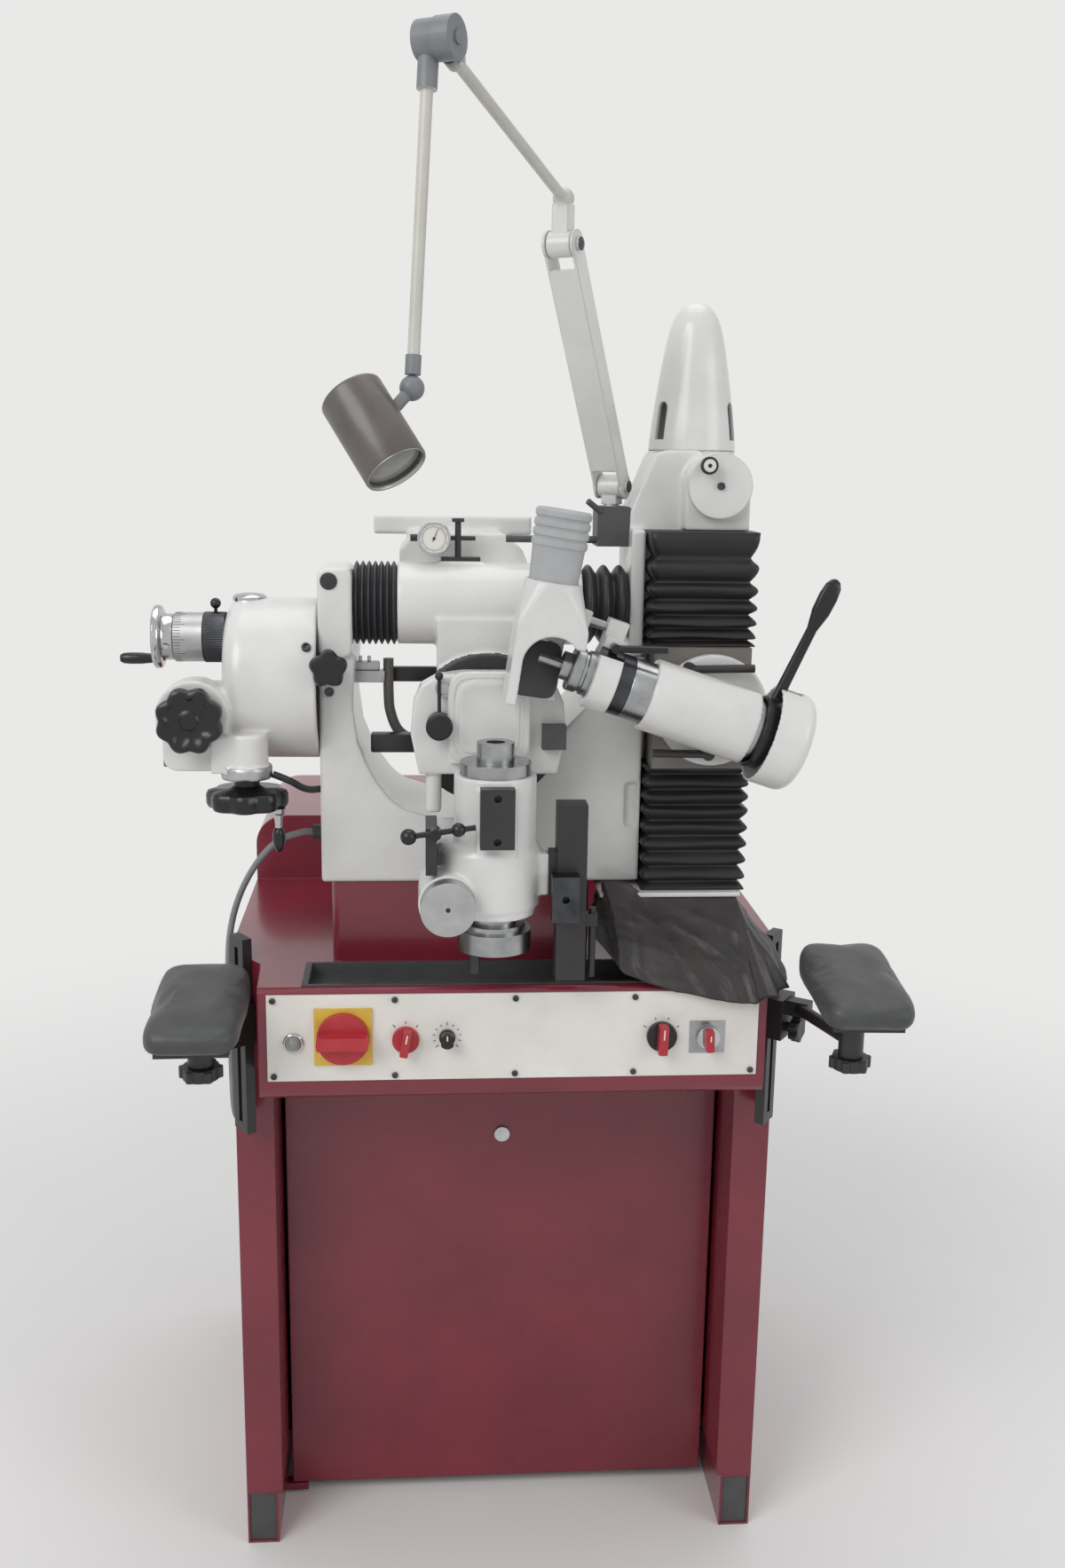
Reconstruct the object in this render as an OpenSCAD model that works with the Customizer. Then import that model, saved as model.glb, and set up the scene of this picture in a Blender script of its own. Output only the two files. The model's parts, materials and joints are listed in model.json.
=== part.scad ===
// Tool and cutter grinder on a sheet-steel cabinet.
// Millimetres, +Z up, the operator stands at -Y. The origin is on the floor, in the
// middle of the four anchor holes. Inside from_legs() Y is measured from the front of the posts.

/* [Cabinet] */
// Width over the side walls
cab_w = 660; // [600:10:720]
// Depth from the front of the posts to the back wall
cab_d = 560; // [520:10:640]
// Height of the deck above the floor
deck_z = 814; // [780:2:860]
// Thickness of the cabinet sheet
sheet = 3; // [2:0.5:4]
// Width of a front post
post_w = 46; // [40:1:50]
// Depth of the door recess behind the posts
recess_d = 92; // [70:2:100]
// Thickness of the door pan
door_t = 18; // [14:1:24]
// Gap under the door
door_gap = 19; // [15:1:30]
// Width of a skid tube
skid_w = 40; // [36:1:44]
// Height of a skid tube
skid_h = 76; // [60:2:90]
// Wall of a skid tube
skid_wall = 3; // [2:0.5:5]
// Distance between anchor holes, front to back
anchor_y = 440; // [380:10:480]
// Radius of an anchor hole
anchor_r = 6.5; // [5:0.5:9]

/* [Console] */
// How far the console stands out in front of the posts
nose_d = 140; // [120:5:160]
// Width of the console at its front
nose_w = 570; // [560:2:576]
// Depth of the flare where the console meets the posts
flare_d = 57; // [50:1:64]
// Height of the console front
nose_h = 134; // [128:2:150]
// Radius of the console's upper front edge
nose_top_r = 8; // [4:1:10]
// Radius of the console's lower front edge
nose_low_r = 18; // [6:1:20]
// Width of the control panel
panel_w = 550; // [530:2:556]
// Height of the control panel
panel_h = 101; // [94:1:104]
// Thickness of the control panel
panel_t = 2; // [1.5:0.5:3]
// Length of the deck tray
tray_w = 464; // [420:4:480]
// Width of the deck tray
tray_d = 74; // [60:2:76]
// Depth of the deck tray
tray_h = 16; // [10:1:24]
// Height of the pedestal
ped_h = 97; // [92:1:120]
// Width of the pedestal
ped_w = 297; // [280:1:300]
// Height of the rear box
rear_h = 90; // [60:5:120]
// Depth of the rear box
rear_d = 262; // [200:2:280]
// Radius of the rear box's upper corners
rear_r = 40; // [20:5:50]

/* [Frame and carriage] */
// Width of the frame casting
frame_w = 364; // [356:1:366]
// Depth of the frame casting
frame_d = 174; // [150:2:200]
// Height of the frame's left tower
tower_h = 260; // [250:1:270]
// Height of the bar's axis above the frame foot
bar_rise = 315; // [310:1:318]
// Radius of the guide bar
bar_r = 25; // [20:1:28]
// Radius of the carriage sleeve
sleeve_r = 46; // [42:1:48]
// Length of the carriage sleeve
sleeve_l = 206; // [196:1:206]
// Width of the bar's clamp block
block_w = 38; // [34:1:40]
// Radius of the swivel scale ring
ring_r = 84; // [78:1:88]
// Radius of the dial gauge
gauge_r = 18.5; // [15:0.5:22]

/* [Workhead] */
// Radius of the work spindle's shaft
work_r = 20; // [17:0.5:22]
// Radius of the collet bore
collet_r = 10; // [6:0.5:12]
// Radius of the upper spindle flange
flange_r = 38; // [32:1:40]
// Radius of the lower spindle flange
low_flange_r = 40; // [34:1:42]
// Radius of the index dial
dial_r = 29; // [24:1:31]
// Length of the tool-rest rail
rail_l = 195; // [180:5:196]

/* [Feed gearbox] */
// Radius of the feed drum
drum_r = 91; // [84:1:92]
// Length of the feed drum
drum_l = 103; // [98:1:108]
// Radius of the fine-feed handwheel
fine_r = 33; // [28:1:36]
// Radius of the star wheel
star_r = 37; // [32:1:38]
// Radius of the crank handwheel
crank_wheel_r = 45; // [38:1:46]

/* [Column and wheelhead] */
// Width of the column
col_w = 120; // [112:1:124]
// Depth of the column
col_d = 160; // [140:5:180]
// Height of the column's head above the deck
col_h = 498; // [494:1:506]
// Height of the head
head_h = 87; // [82:1:95]
// Height of the bullet cap
cap_h = 164; // [120:2:200]
// Radius of the cap's foot
cap_r = 50; // [44:1:52]
// Radius of the lift screw
screw_r = 10; // [8:0.5:12]
// Radius of the column crank disc
disc_r = 35.5; // [30:0.5:37]
// Tilt of the grinding spindle, nose up
spindle_tilt = 18.5; // [14:0.5:22]
// Radius of the spindle housing
housing_r = 39; // [37:0.5:41]
// Radius of the quill
quill_r = 33; // [30:0.5:34]
// Radius of the arbor
arbor_r = 10; // [7:0.5:12]
// Radius of the arbor's wheel seat
seat_r = 5; // [3:0.5:8]
// Radius of the extraction cuff's bore
cuff_bore_r = 22.5; // [18:0.5:23]
// Number of ribs on the extraction cuff
cuff_ribs = 4; // [3:1:6]

/* [Armrests] */
// Width of an armrest pad
pad_w = 108; // [90:2:110]
// Length of an armrest pad
pad_l = 195; // [170:5:195]
// Thickness of an armrest pad
pad_t = 42; // [30:1:50]
// Length of an armrest rail
rest_rail_l = 242; // [220:2:260]

/* [Lamp] */
// Length of the lower arm between pivots
lamp_low_l = 283; // [240:1:300]
// Length of the upper tube
lamp_up_l = 272; // [240:1:290]
// Length of the drop tube
lamp_drop_l = 288; // [250:1:300]
// Radius of the lamp tubes
lamp_tube_r = 5.5; // [5:0.5:7]
// Radius of the lamp can
lamp_can_r = 29; // [24:1:34]
// Length of the lamp can
lamp_can_l = 82; // [70:1:90]

/* [Cord] */
// Diameter of the grey cord
cord_d = 8; // [6:0.5:8]

/* [Hidden] */
$fn = 48;
soft_fn = 32;
// Clearances: running shafts, sliding faces, loose pieces
run_gap = 0.05;
slide_gap = 0.3;
seat_gap = 0.1;
cut = 1;

wine = "#7b1f2d";
cast_white = "#e3e4e1";
black = "#2a2b2d";
steel = "#b9bcbe";
dark_steel = "#5b5c5e";
grey = "#9a9d9f";
signal_red = "#b8242f";
hide = "#3b3c3f";

// Cabinet
wall_h = deck_z - sheet - skid_h;
half_w = cab_w / 2;
half_nose = nose_w / 2;
half_flare = half_nose + 4;
door_half = half_w - post_w - 5;
header_z = deck_z - nose_h - 4;
header_h = 14;
door_top = header_z - 4;
hinge_x = -door_half + 11;
hinge_y = recess_d + door_t / 2;
hinge_r = 4;
lock_z = door_top - 145;
nose_z = deck_z - nose_h;
panel_z = deck_z - 57;
panel_y = -nose_d - panel_t;
tray_y = -nose_d + 10;
ped_x = -207;
ped_y = tray_y + tray_d + 6;
ped_d = 240;
ped_wall = 4;

// Rotary controls on the panel: place along X, height off the panel's middle
switch_at = [-191, 2];
mode_at = [-122, -2];
speed_at = [-76, 0];
wheel_at = [165, -2];
light_at = [218, -4];
pilot_at = [-246, -5];
control_shaft_r = 4;
back_plate_t = 3;
steel_plate_t = 1;

// Frame, with heights over the deck
frame_x = -218;
frame_y = ped_y - 4;
frame_z = deck_z + ped_h;
frame_right = frame_x + frame_w;
frame_wall = 14;
bar_y = frame_y + 44;
bar_z = frame_z + bar_rise;
block_y = frame_y - 8;
block_d = 104;
block_h = 97;
sleeve_x = -131;
pivot_x = -31;
pivot_z = bar_z - 134;
pivot_r = 20;
ring_y = frame_y - 18;
ring_t = 14;
knob_x = frame_x + 14;
knob_z = frame_z + tower_h - 7;
gauge_x = -90;
gauge_z = bar_z + 73;

// Workhead, about the spindle axis
work_x = -26;
work_y = ring_y - 88;
plate_y = ring_y - 33;
plate_t = 33 - slide_gap;
body_r = 44;
body_z0 = frame_z - 2;
body_step = body_z0 + 79;
body_top = body_z0 + 152;
low_r = 56;
low_x = work_x - 6;
low_y = work_y + 8;
dial_x = -77;
dial_z = body_z0 + 21;
dial_y = work_y - 46;
rail_x = 40;
rail_y = work_y - 20;
rail_z = body_z0 - 74;
lever_at = [-90, body_step + 22];

// Feed gearbox, on the left of the frame
drum_y = bar_y + 10;
drum_z = bar_z - 87;
drum_x = frame_x - 1 - drum_l;
fine_y = bar_y;
fine_z = bar_z - 40;
fine_shaft_r = 8;
collar_r = 27;
collar_l = 58;
star_x = drum_x - 30;
star_y = drum_y - 85;
star_z = drum_z - 31;
star_shaft_r = 6;
hub_x = drum_x + 26;
hub_y = drum_y - 82;
hub_r = 27;
hub_z = drum_z - 99;
hub_shaft_r = 9;

// Column
col_left = frame_right + 1;
col_x = col_left + 60;
col_y = -20;
col_right = col_left + col_w;
col_top = deck_z + col_h;
head_top = col_top + head_h;
cap_y = col_y + 60;
flange_x = col_left - 18;
bar_seat = 15;
shelf_z = deck_z + 85;
shelf_t = 6;
groove_w = 50;
groove_d = 45;
screw_y = col_y + 23;
disc_x = col_x + 17;
disc_z = col_top + 49;
disc_y = col_y - 25;

// Wheelhead
sp_x = col_x + 10;
sp_y = frame_y - 96;
sp_z = deck_z + 304;
slide_front = col_y - 64;
slide_z0 = sp_z - 68;
slide_h = 136;
swivel_r = 62;
swivel_y = slide_front - slide_gap;
swivel_t = 13;
pin_r = 18;
rod_z = 52;
rod_y = 20;
rod_r = 5;
ear_x = -138;
body_x = -87;
body_end = 31;
lever_x = 44;
lever_lean = 6;
lever_pin_r = 5;

// Wheel guard
guard_x = sp_x - 191;
guard_z = sp_z + 62;
guard_lean = 8;
neck_r = 30;
neck_x = -5;
guard_wall = 3;

// Bellows
bellow_front = col_y - 55;
bellow_w = 122;
bellow_pleat = 5;

// Armrests: rails on the flare's slanting faces
taper = atan2(half_w - half_flare, flare_d);
rest_y = -flare_d / 2;
rest_x = (half_w + half_flare) / 2;
rest_t = 12;
rest_w = 30;
rest_z = deck_z - 76;
rest_top = deck_z + 26;
arm_z = rest_z + 14;
arm_l = 26;
left_pivot = [-345, -160];
right_pivot = [378, -160];
pad_z = deck_z - 34;
right_pad_rise = 18;
pad_wedge = 0.5;
pad_plate_t = 6;
pad_pin_r = 8;
left_pad_turn = 1;
right_pad_turn = -3;

// Lamp, in an upright plane that leans to the front left
lamp_at = [flange_x - 17, 10, col_top + 46];
lamp_heading = -120;
lamp_pin_r = 6;
lamp_w = 34;
lamp_low_el = 59;
lamp_link = 44;
lamp_up_el = 19;
lamp_drop_el = -84;
lamp_hub_r = 18;
stem_r = 9;
lamp_ball_r = 11;
can_dir = [0.487, -0.418, -0.767];
function in_plane(el) = [cos(lamp_heading) * cos(el), sin(lamp_heading) * cos(el), sin(el)];
lamp_elbow = lamp_at + lamp_low_l * in_plane(lamp_low_el);
lamp_neck = lamp_elbow + [0, 0, lamp_link];
lamp_top = lamp_neck + lamp_up_l * in_plane(lamp_up_el);

// Cord from the frame to the cabinet's left side, then the captive feed cable
gland_l = 14;
gland_r = 9;
gland_at = [frame_x, 20, frame_z + 41];
elbow_gland = [22, 30, 30];
cord_points = [
    [-232, 20, 952], [-246, 20, 951], [-275, 28, 938], [-303, 44, 905], [-326, 62, 860],
    [-340, 76, 810], [-345, 84, 750], [-345, 89, 680], [-345, 92, 610], [-345, 99, 572],
    [-345, 118, 547], [-345, 145, 535], [-345, 172, 536], [-345, 198, 549], [-345, 216, 572],
    [-345, 224, 604], [-345, 225, 640]
];
cable_r = 4;
cable_points = [
    [-267.5, -84, 1044], [-258, -83, 1040], [-247, -77, 1033.5], [-237, -65, 1024.5], [-228, -53, 1019.5],
    [-218, -42, 1018]
];

// Placing and shaping helpers
module from_legs() translate([0, -cab_d / 2, 0]) children();

module both_sides() {
    children();
    mirror([1, 0, 0]) children();
}

module along_x(at, l, r) translate(at) rotate([0, 90, 0]) cylinder(h = l, r = r);

module along_y(at, l, r) translate(at) rotate([-90, 0, 0]) cylinder(h = l, r = r);

module along_z(at, l, r) translate(at) cylinder(h = l, r = r);

// Turns an outline drawn in X and Z into a plate that runs along +Y
module plate_y(y, t) translate([0, y + t, 0]) rotate([90, 0, 0]) linear_extrude(t) children();

// Turns an outline drawn in Y and Z into a bar that runs along +X
module plate_x(x, t) translate([x, 0, 0]) rotate([90, 0, 90]) linear_extrude(t) children();

module rounded(w, h, r) {
    translate([r, 0]) square([w - 2 * r, h]);
    translate([0, r]) square([w, h - 2 * r]);
    for (x = [r, w - r], y = [r, h - r]) translate([x, y]) circle(r);
}

// A rod with a round section between two points
module rod(p, q, r) {
    d = q - p;
    translate(p) rotate([0, acos(d[2] / norm(d)), atan2(d[1], d[0])]) cylinder(h = norm(d), r = r);
}

// A long egg, as on lever grips, along +Z
module egg(l, r) rotate_extrude() intersection() {
    polygon([for (i = [0 : 24]) [r * sin(i * 7.5) * (0.9 + 0.1 * cos(i * 7.5)), l * (1 - cos(i * 7.5)) / 2]]);
    square([r + cut, l]);
}

// Sweeps a closed tube along points, rings square to the run
function blend_point(p, i, t) =
    let (n = len(p) - 1, a = p[max(i - 1, 0)], b = p[i], c = p[min(i + 1, n)], d = p[min(i + 2, n)])
    0.5 * (2 * b + (c - a) * t + (2 * a - 5 * b + 4 * c - d) * t * t + (3 * b - a - 3 * c + d) * t * t * t);
function fine_points(p, k) = [
    for (i = [0 : len(p) - 2], j = [0 : k - 1]) blend_point(p, i, j / k),
    p[len(p) - 1]
];
function unit(v) = v / norm(v);

module sweep(points, r, sides, first, last) {
    n = len(points);
    tangents = [for (i = [0 : n - 1])
        i == 0 ? first : i == n - 1 ? last : unit(points[i + 1] - points[i - 1])];
    side = [for (t = tangents) unit(cross(abs(t[1]) > 0.9 ? [1, 0, 0] : [0, 1, 0], t))];
    up = [for (i = [0 : n - 1]) cross(tangents[i], side[i])];
    rings = [for (i = [0 : n - 1], k = [0 : sides - 1])
        points[i] + r * (cos(k * 360 / sides) * side[i] + sin(k * 360 / sides) * up[i])];
    walls = [for (i = [0 : n - 2], k = [0 : sides - 1], h = [0, 1])
        let (a = i * sides + k, b = i * sides + (k + 1) % sides)
        h == 0 ? [a, a + sides, b] : [b, a + sides, b + sides]];
    start = [for (k = [1 : sides - 2]) [0, k, k + 1]];
    end = [for (k = [1 : sides - 2]) [0, k + 1, k] + (n - 1) * sides * [1, 1, 1]];
    polyhedron(concat(rings), concat(walls, start, end));
}

// A pleated outline: n folds over a length, with folds that gather towards the far end
function fold_at(i, n, l, gather) = l * (1 - pow(1 - i / (2 * n), gather));
module folds(l, n, half, depth, gather) polygon(concat(
    [for (i = [0 : 2 * n]) [half - (i % 2) * depth, fold_at(i, n, l, gather)]],
    [for (i = [2 * n : -1 : 0]) [-half + (i % 2) * depth, fold_at(i, n, l, gather)]]));

// Cabinet
module cabinet_shell() color(wine) from_legs() difference() {
    inner = cab_w - 2 * post_w;
    union() {
        both_sides() {
            translate([half_w - sheet, 0, skid_h]) cube([sheet, cab_d, wall_h]);
            translate([half_w - post_w, 0, skid_h]) cube([post_w, sheet, wall_h]);
            translate([half_w - post_w, 0, skid_h]) cube([sheet, recess_d + door_t + 20, wall_h]);
        }
        translate([-half_w, cab_d - sheet, skid_h]) cube([cab_w, sheet, wall_h]);
        translate([-half_w, recess_d + door_t + 10, skid_h])
            cube([cab_w, cab_d - recess_d - door_t - 10, sheet]);
        translate([-inner / 2 - sheet, hinge_y - 13, header_z]) cube([inner + 2 * sheet, 26, header_h]);
    }
    along_z([hinge_x, hinge_y, header_z - cut], header_h + 2 * cut, hinge_r + run_gap);
}

module nose_side(inset) {
    y0 = -nose_d + inset;
    z0 = nose_z + inset;
    z1 = deck_z - inset;
    rt = nose_top_r - inset;
    rl = nose_low_r - inset;
    translate([y0 + rt, z1 - rt]) circle(rt);
    translate([y0 + rl, z0 + rl]) circle(rl);
    translate([y0, z0 + rl]) square([nose_low_r, z1 - rt - z0 - rl]);
    translate([y0 + rt, z0 + rl]) square([nose_low_r, z1 - z0 - rl]);
    translate([y0 + rl, z0]) square([nose_d - inset - rl + inset, z1 - z0]);
}

module nose_solid(inset) intersection() {
    translate([0, 0, nose_z]) linear_extrude(nose_h) polygon([
        [-half_w + inset, 0], [-half_flare + inset, -flare_d], [-half_nose + inset, -nose_d],
        [half_nose - inset, -nose_d], [half_flare - inset, -flare_d], [half_w - inset, 0]]);
    plate_x(-half_w, cab_w) nose_side(inset);
}

module rear_outline(inset) {
    w = cab_w - 2 * inset;
    h = rear_h - inset;
    r = rear_r - inset;
    translate([-w / 2, deck_z - sheet]) square([w, h + sheet - r]);
    translate([-w / 2 + r, deck_z - sheet]) square([w - 2 * r, h + sheet]);
    for (s = [-1, 1]) translate([s * (w / 2 - r), deck_z + h - r]) circle(r);
}

module console_housing() color(wine) from_legs() difference() {
    ped_r = 10;
    union() {
        difference() {
            nose_solid(0);
            nose_solid(sheet);
        }
        translate([-half_w, 0, deck_z - sheet]) cube([cab_w, cab_d, sheet]);
        translate([ped_x, ped_y, deck_z - sheet]) linear_extrude(ped_h + sheet) rounded(ped_w, ped_d, ped_r);
        plate_y(cab_d - rear_d, rear_d) rear_outline(0);
    }
    translate([ped_x + ped_wall, ped_y + ped_wall, deck_z - sheet - cut])
        linear_extrude(ped_h + sheet + cut - ped_wall)
        rounded(ped_w - 2 * ped_wall, ped_d - 2 * ped_wall, ped_r - ped_wall);
    plate_y(cab_d - rear_d + sheet, rear_d - 2 * sheet) difference() {
        rear_outline(sheet);
        translate([-half_w, deck_z - sheet]) square([cab_w, sheet]);
    }
    translate([-tray_w / 2, tray_y, deck_z - sheet - cut]) cube([tray_w, tray_d, sheet + 2 * cut]);
    control_holes(-nose_d - cut, sheet + 2 * cut);
}

module control_holes(y, l)
    for (c = [switch_at, mode_at, speed_at, wheel_at, light_at])
        along_y([c[0], y, panel_z + c[1]], l, control_shaft_r + run_gap);

module skid_tubes() color(wine) from_legs() {
    both_sides() translate([half_w - skid_w, 0, 0]) difference() {
        cube([skid_w, cab_d, skid_h]);
        translate([skid_wall, -cut, skid_wall])
            cube([skid_w - 2 * skid_wall, cab_d + 2 * cut, skid_h - 2 * skid_wall]);
        for (s = [-1, 1])
            along_z([skid_w / 2, cab_d / 2 + s * anchor_y / 2, -cut], skid_wall + 2 * cut, anchor_r);
    }
    difference() {
        translate([-half_w + skid_w, hinge_y - 9, 6]) cube([hinge_x + 9 + half_w - skid_w, 18, door_gap - 9]);
        along_z([hinge_x, hinge_y, 0], door_gap, hinge_r + run_gap);
    }
}

module skid_plugs() color(black) from_legs() {
    w = skid_w - 2 * skid_wall - 2 * seat_gap;
    h = skid_h - 2 * skid_wall - 2 * seat_gap;
    l = 16;
    for (s = [-1, 1], y = [2, cab_d - l - 2])
        translate([s * (half_w - skid_w / 2) - w / 2, y, skid_wall + seat_gap]) difference() {
            cube([w, l, h]);
            translate([4, y > l ? -cut : 4, 4]) cube([w - 8, l - 4 + cut, h - 8]);
        }
}

module door() color(wine) from_legs() {
    h = door_top - door_gap;
    pan = 2;
    difference() {
        translate([-door_half, recess_d, door_gap]) cube([2 * door_half, door_t, h]);
        translate([-door_half + 22, recess_d + pan, door_gap + pan])
            cube([2 * door_half - 22 - pan, door_t, h - 2 * pan]);
    }
    along_z([hinge_x, hinge_y, 7], door_gap - 6, hinge_r);
    along_z([hinge_x, hinge_y, door_top - cut], header_z + header_h - 2 - door_top + cut, hinge_r);
    along_y([0, recess_d - 4, lock_z], 30, 10);
}

// Console fittings
module control_panel() color("#e9e7e2") from_legs() difference() {
    translate([-panel_w / 2, panel_y, panel_z - panel_h / 2]) cube([panel_w, panel_t, panel_h]);
    control_holes(panel_y - cut, panel_t + 2 * cut);
}

module panel_fittings() color(grey) from_legs() {
    screw_head = 3.6;
    for (i = [-2 : 2], s = [-1, 1])
        along_y([i * (panel_w / 4 - 3.5), panel_y - 1.6, panel_z + s * (panel_h / 2 - 6)], 1.6, screw_head);
    translate([pilot_at[0], panel_y, panel_z + pilot_at[1]]) rotate([90, 0, 0]) {
        cylinder(h = 3, r = 11);
        translate([0, 0, 3]) intersection() {
            sphere(8.5);
            cylinder(h = 9, r = 9);
        }
    }
    difference() {
        translate([switch_at[0] - 32, panel_y - back_plate_t, panel_z + switch_at[1] - 33])
            cube([64, back_plate_t, 66]);
        control_holes(panel_y - back_plate_t - cut, back_plate_t + 2 * cut);
    }
    difference() {
        translate([light_at[0] - 21, panel_y - steel_plate_t, panel_z + light_at[1] - 19])
            cube([40, steel_plate_t, 38]);
        control_holes(panel_y - steel_plate_t - cut, steel_plate_t + 2 * cut);
    }
}

// A rotary control: a base disc, a grip bar across it at an angle, and a shaft through the panel
module rotary(at, base_r, base_t, grip_w, grip_t, angle, lift) from_legs()
    translate([at[0], panel_y - lift - slide_gap, panel_z + at[1]]) rotate([90, 0, 0]) {
        cylinder(h = base_t, r = base_r);
        rotate([0, 0, angle]) intersection() {
            translate([-base_r, -grip_w / 2, base_t - cut]) cube([2 * base_r, grip_w, grip_t + cut]);
            cylinder(h = base_t + grip_t, r = base_r - 0.4);
        }
        translate([0, 0, -24]) cylinder(h = 24 + cut, r = control_shaft_r);
    }

module main_switch() color(signal_red) rotary(switch_at, 29, 9, 15, 14, 0, back_plate_t);

module mode_selector() color(signal_red) rotary(mode_at, 15, 6, 9, 14, 80, 0);

module speed_dial() color(black) rotary(speed_at, 9, 5, 14, 11, 90, 0);

module wheel_selector() color(signal_red) rotary(wheel_at, 17, 6, 10, 14, 88, 0);

module light_selector() color(signal_red) rotary(light_at, 13, 5, 9, 12, 92, steel_plate_t);

module deck_tray() color(dark_steel) from_legs() {
    w = tray_w - 2 * slide_gap;
    d = tray_d - 2 * slide_gap;
    rim = 5;
    wall = 2;
    difference() {
        union() {
            translate([-w / 2, tray_y + slide_gap, deck_z - tray_h]) cube([w, d, tray_h + cut / 2]);
            translate([-tray_w / 2 - rim, tray_y - rim + 3, deck_z])
                cube([tray_w + 2 * rim, tray_d + 2 * rim - 6, 1.5]);
        }
        translate([-w / 2 + wall, tray_y + slide_gap + wall, deck_z - tray_h + wall])
            cube([w - 2 * wall, d - 2 * wall, tray_h + 2 * cut]);
    }
}

// Frame casting: a deep U with a tall left tower
module frame_outline() difference() {
    square([frame_w, tower_h]);
    translate([0, tower_h]) polygon([
        [block_w + 3, cut], [block_w + 1, -22], [block_w, -60], [block_w + 5, -98], [block_w + 15, -123],
        [block_w + 25, -142], [block_w + 40, -162], [block_w + 55, -174], [block_w + 90, -185],
        [frame_w - 196, -185], [frame_w - 154, -164], [frame_w - 131, -126], [frame_w - 20, -10],
        [frame_w - 12, -6], [frame_w - 12, cut]]);
}

module main_frame() color(cast_white) from_legs() difference() {
    union() {
        plate_y(frame_y, frame_d) translate([frame_x, frame_z]) frame_outline();
        plate_y(block_y, block_d)
            translate([frame_x, frame_z + tower_h - 1]) rounded(block_w, block_h + 1, 9);
    }
    translate([frame_x + frame_wall, frame_y + frame_wall, frame_z - cut])
        cube([frame_w - 2 * frame_wall, frame_d - 2 * frame_wall, tower_h - 200 + cut]);
    along_x([frame_x - cut, bar_y, bar_z], block_w + 2 * cut, bar_r + run_gap);
    along_y([knob_x, frame_y - cut, knob_z], 30, knob_shank + run_gap);
    translate([frame_right - 18, frame_y - cut, frame_z + 64]) cube([15, 7, 52]);
}

knob_shank = 5;

module frame_clamp_knob() color(black) from_legs() {
    lobes = 5;
    lobe_r = 7;
    knob_r = 20;
    knob_t = 16;
    knob_y = block_y - 50;
    stem_l = frame_y - slide_gap - knob_y - knob_t + cut;
    along_y([knob_x, knob_y, knob_z], knob_t, knob_r - lobe_r + 2);
    for (k = [0 : lobes - 1]) along_y([knob_x + (knob_r - lobe_r) * sin(k * 360 / lobes), knob_y,
        knob_z + (knob_r - lobe_r) * cos(k * 360 / lobes)], knob_t, lobe_r);
    along_y([knob_x, knob_y + knob_t - cut, knob_z], stem_l, knob_shank + 0.6);
    along_y([knob_x, knob_y + knob_t - cut, knob_z], stem_l + 18, knob_shank);
}

module guide_bar() color(steel) from_legs()
    along_x([frame_x, bar_y, bar_z], flange_x + bar_seat - frame_x, bar_r);

// Round gaiters either side of the carriage
module carriage_bellows() color(black) from_legs() {
    left = frame_x + block_w + slide_gap;
    left_l = sleeve_x - slide_gap - left;
    right = sleeve_x + sleeve_l + slide_gap;
    right_l = flange_x - slide_gap - right;
    round_gaiter(left, left_l, 7, 47, 4);
    round_gaiter(right, right_l, 3, 45, 8);
}

module round_gaiter(x, l, n, r, depth) translate([x, bar_y, bar_z]) rotate([0, 90, 0]) rotate_extrude()
    polygon(concat(
        [for (i = [0 : 2 * n]) [r - depth + (i % 2) * depth, i * l / (2 * n)]],
        [for (i = [2 * n : -1 : 0]) [r - depth - 3 + (i % 2) * depth, i * l / (2 * n)]]));

module carriage() color(cast_white) from_legs() difference() {
    hump_y = bar_y + 25;
    union() {
        along_x([sleeve_x, bar_y, bar_z], sleeve_l, sleeve_r);
        plate_y(hump_y, 105) translate([sleeve_x + 2, bar_z - 10])
            polygon([[0, 0], [0, 68], [14, 86], [118, 87], [140, 70], [152, 40], [152, 0]]);
        translate([sleeve_x - 30, hump_y + 105, bar_z + 70]) cube([190, 8, 22]);
        translate([pivot_x - 56, ring_y + ring_t - 1, pivot_z + 25]) cube([108, 48, 96]);
        along_y([pivot_x, ring_y, pivot_z], ring_t, ring_r);
        along_y([pivot_x, plate_y + slide_gap, pivot_z], ring_y - plate_y + 1, pivot_r);
        translate([gauge_x + 6, bar_y - 9, bar_z + sleeve_r - 12]) cube([48, 18, 14]);
    }
    along_x([sleeve_x - cut, bar_y, bar_z], sleeve_l + 2 * cut, bar_r + run_gap);
}

module dial_gauge() color(steel) from_legs() {
    post_x = gauge_x + 27;
    foot_z = bar_z + sleeve_r + 2;
    along_y([gauge_x, bar_y - 14, gauge_z], 24, gauge_r);
    along_x([gauge_x - gauge_r - 8, bar_y, gauge_z], 12, 4);
    along_x([gauge_x + gauge_r - 2, bar_y, gauge_z], 30, 2.5);
    along_z([post_x, bar_y, foot_z], gauge_z - foot_z + 21, 3.5);
    translate([gauge_x + 8, bar_y - 8, foot_z]) cube([44, 16, 4]);
    along_z([post_x, bar_y, gauge_z + 18], 4, 7);
}

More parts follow.
